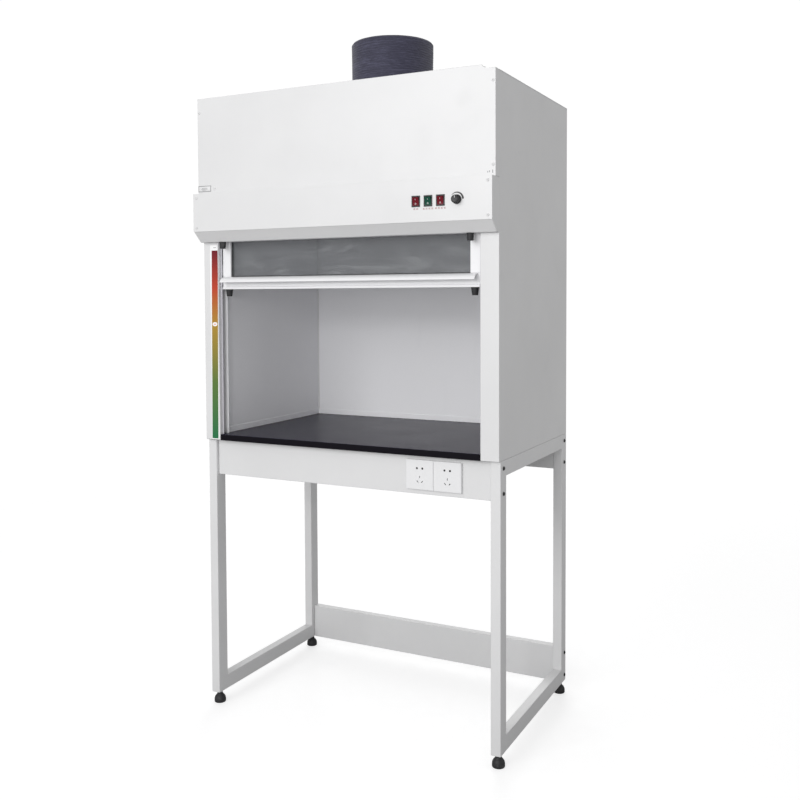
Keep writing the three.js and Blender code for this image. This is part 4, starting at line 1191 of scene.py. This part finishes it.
GLYPH, GLYPH_GAP, STROKE = 6 * MM, 2.6 * MM, 0.8 * MM
bm = bmesh.new()
for label, glyphs in (("fan", 2), ("lamp", 4), ("socket", 4)):
    low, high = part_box(f"switch_housing_{label}")
    x = (low.x + high.x) / 2 - (glyphs * GLYPH + (glyphs - 1) * GLYPH_GAP) / 2
    for i in range(glyphs):
        for row, length in enumerate((GLYPH, GLYPH * 0.7, GLYPH)):
            corner = Vector((x, plate_front - INK, low.z - 4.6 * MM - row * 2 * STROKE))
            block(bm, corner, corner + Vector((length, 0.9 * INK, STROKE)))
        x += GLYPH + GLYPH_GAP
place_mesh("switch_marks", "cabinet", bm, red_ink)

low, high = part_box("speed_knob")
knob = Vector(((low.x + high.x) / 2, 0, (low.z + high.z) / 2))
knob_front = low.y
skirt_back = plate_front - 0.8 * MM
bm = bmesh.new()
spun(bm, eased([(0, knob_front + 0.8 * MM), (7.6 * MM, knob_front + 0.8 * MM), (8.4 * MM, knob_front),
                (9.6 * MM, knob_front), (10.6 * MM, knob_front + 1.2 * MM),
                (11.1 * MM, skirt_back - 3.2 * MM), (13.0 * MM, skirt_back - 2.2 * MM),
                (13.2 * MM, skirt_back), (3 * MM, skirt_back),
                (3 * MM, high.y), (0, high.y)], 0.5 * MM), knob, "Y", 96)
place_mesh("speed_knob_skin", "knob", bm, black_nylon, ["speed_knob"])
ridge_bm = bmesh.new()
block(ridge_bm, (-0.42 * MM, -5.2 * MM, -0.4 * MM), (0.42 * MM, 5.2 * MM, 0.62 * MM), 0.25 * MM, 1)
ridge_mesh = bpy.data.meshes.new("grip_ridge")
ridge_bm.to_mesh(ridge_mesh)
ridge_bm.free()
grip_ridge = bpy.data.objects.new("grip_ridge", ridge_mesh)
ridge_y = (knob_front + skirt_back) / 2 - 0.6 * MM
RIDGES, RIDGE_CIRCLE = 36, 10.9 * MM
ridge_places = []
for i in range(RIDGES):
    angle = 2 * math.pi * i / RIDGES
    outward = Vector((math.cos(angle), 0, math.sin(angle)))
    ridge_places.append((Vector((knob.x, ridge_y, knob.z)) + outward * RIDGE_CIRCLE, outward))
fastened("knob_grip_ridges", grip_ridge, black_nylon, ridge_places, 1, "knob", 0.0)
bm = bmesh.new()
block(bm, (knob.x - 0.6 * MM, knob_front - 0.05 * MM, knob.z + 3 * MM),
      (knob.x + 0.6 * MM, knob_front + 1.0 * MM, knob.z + 9.4 * MM), 0.15 * MM)
place_mesh("knob_pointer", "knob", bm, white_ink)


def on_plate(across, up, lift):
    return Vector((knob.x + across, plate_front - 0.01 * MM - lift, knob.z + up))


bm = bmesh.new()
flat_ring(bm, on_plate, 20.5 * MM, 14.6 * MM, math.radians(140), math.radians(2), 48, 0.25)
place_mesh("speed_arc", "cabinet", bm, black_ink)
dressed("speed_controller", black_nylon, edge=0.0006)

# Each of the two upper round holes of an outlet is backed by a black disc set just behind the plate's
# face: painted shade, so that the holes read dark.
HOLE_ACROSS, HOLE_UP, HOLE_SHADE_RADIUS = 8.6 * MM, 18.6 * MM, 3.1 * MM
for side in ("left", "right"):
    dressed(f"socket_outlet_{side}", white_plastic, fold=0.0014, edge=0.0003)
    low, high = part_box(f"socket_outlet_{side}")
    bm = bmesh.new()
    for across in (-HOLE_ACROSS, HOLE_ACROSS):
        spot = ((low.x + high.x) / 2 + across, low.y + 1.2 * MM, (low.z + high.z) / 2 + HOLE_UP)
        spun(bm, [(0, -0.5 * MM), (HOLE_SHADE_RADIUS, -0.5 * MM), (HOLE_SHADE_RADIUS, 2 * MM), (0, 2 * MM)], spot, "Y", 24)
    place_mesh(f"socket_shutters_{side}", "cabinet", bm, switch_black)


# A strip of pile seals the slot between each corner post and the sash that slides past it. Its tufts
# are one solid strip here, and its pale colour is painted light that stands in for the lit floor of the
# slot.
pile_painted_light = shade("pile_seal", moulded((0.56, 0.55, 0.59), 0.85, 1500, 0.0004, 0.10))
track_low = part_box("sash_track_left")[0]
seal_back = track_low.y - 0.1 * MM
seal_front = seal_back - 2.2 * MM
handle_low, handle_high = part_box("sash_handle_rail")
for side in ("left", "right"):
    post_low, post_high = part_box(f"front_post_{side}")
    near, far = sorted((post_high.x + 0.2 * MM, handle_low.x - 1 * MM) if side == "left"
                       else (handle_high.x + 1 * MM, post_low.x - 0.2 * MM))
    bm = bmesh.new()
    block(bm, (near, seal_front, track_low.z), (far, seal_back, post_high.z), 0.4 * MM)
    place_mesh(f"pile_seal_{side}", "cabinet", bm, pile_painted_light)


# ---------------------------------------------------------------- sash height scale
# A self-adhesive printed strip on the left post: green where the sash is safely low, through amber and
# red where it is too high, inside a white margin, with a white cap and one white working-height mark.
strip_low, strip_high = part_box("height_scale")
CAP, PRINT_HALF, LEAN, MARK_HEIGHT = 16.5 * MM, 11.8 * MM, 0.009, 0.61
strip_middle = (strip_low.x + strip_high.x) / 2 + 0.8 * MM


def scale_film(net):
    spot = net.place()
    z = net.split(spot, "Z")
    foot_of_print, top_of_print = strip_low.z + 2.5 * MM, strip_high.z - CAP
    across = net.split(spot, "X") - (z - (foot_of_print + top_of_print) / 2) * LEAN - strip_middle
    green, olive, amber = (0.015, 0.16, 0.06), (0.10, 0.18, 0.04), (0.40, 0.24, 0.03)
    red, deep_red = (0.48, 0.05, 0.02), (0.14, 0.005, 0.015)
    ramp = net.node("ShaderNodeValToRGB", {"stops": [
        (0.0, green), (0.3, olive), (0.6, amber), (0.8, red), (1.0, deep_red)]},
        {0: net.band_linear(z, foot_of_print, top_of_print)})
    printed = (z > foot_of_print) * (z < top_of_print) * (across > -PRINT_HALF) * (across < PRINT_HALF)
    up = z - (foot_of_print + MARK_HEIGHT * (top_of_print - foot_of_print))
    oval = ((across / (9.5 * MM)) ** 2 + (up / (6.5 * MM)) ** 2) < 1.0
    bar = ((across / (5 * MM)) ** 4 + (up / (1.6 * MM)) ** 4) < 1.0
    cap_bar = ((across / (6 * MM)) ** 4 + ((z - (strip_high.z - CAP * 0.45)) / (1.0 * MM)) ** 4) < 1.0
    grain = net.noise(spot, 240, 3)
    paper = net.mix(cap_bar, (0.90, 0.90, 0.90), (0.40, 0.40, 0.40))
    film = net.mix(printed * (1 - oval), paper, ramp)
    return {"Base Color": net.mix(oval * bar, film, (0.75, 0.32, 0.25)),
            "Roughness": 0.34 + grain * 0.14,
            "Normal": net.bump(grain, 0.00003, 0.3)}


dressed("height_scale", shade("height_scale_film", scale_film, specular_ior_level=0.3), edge=0.0)
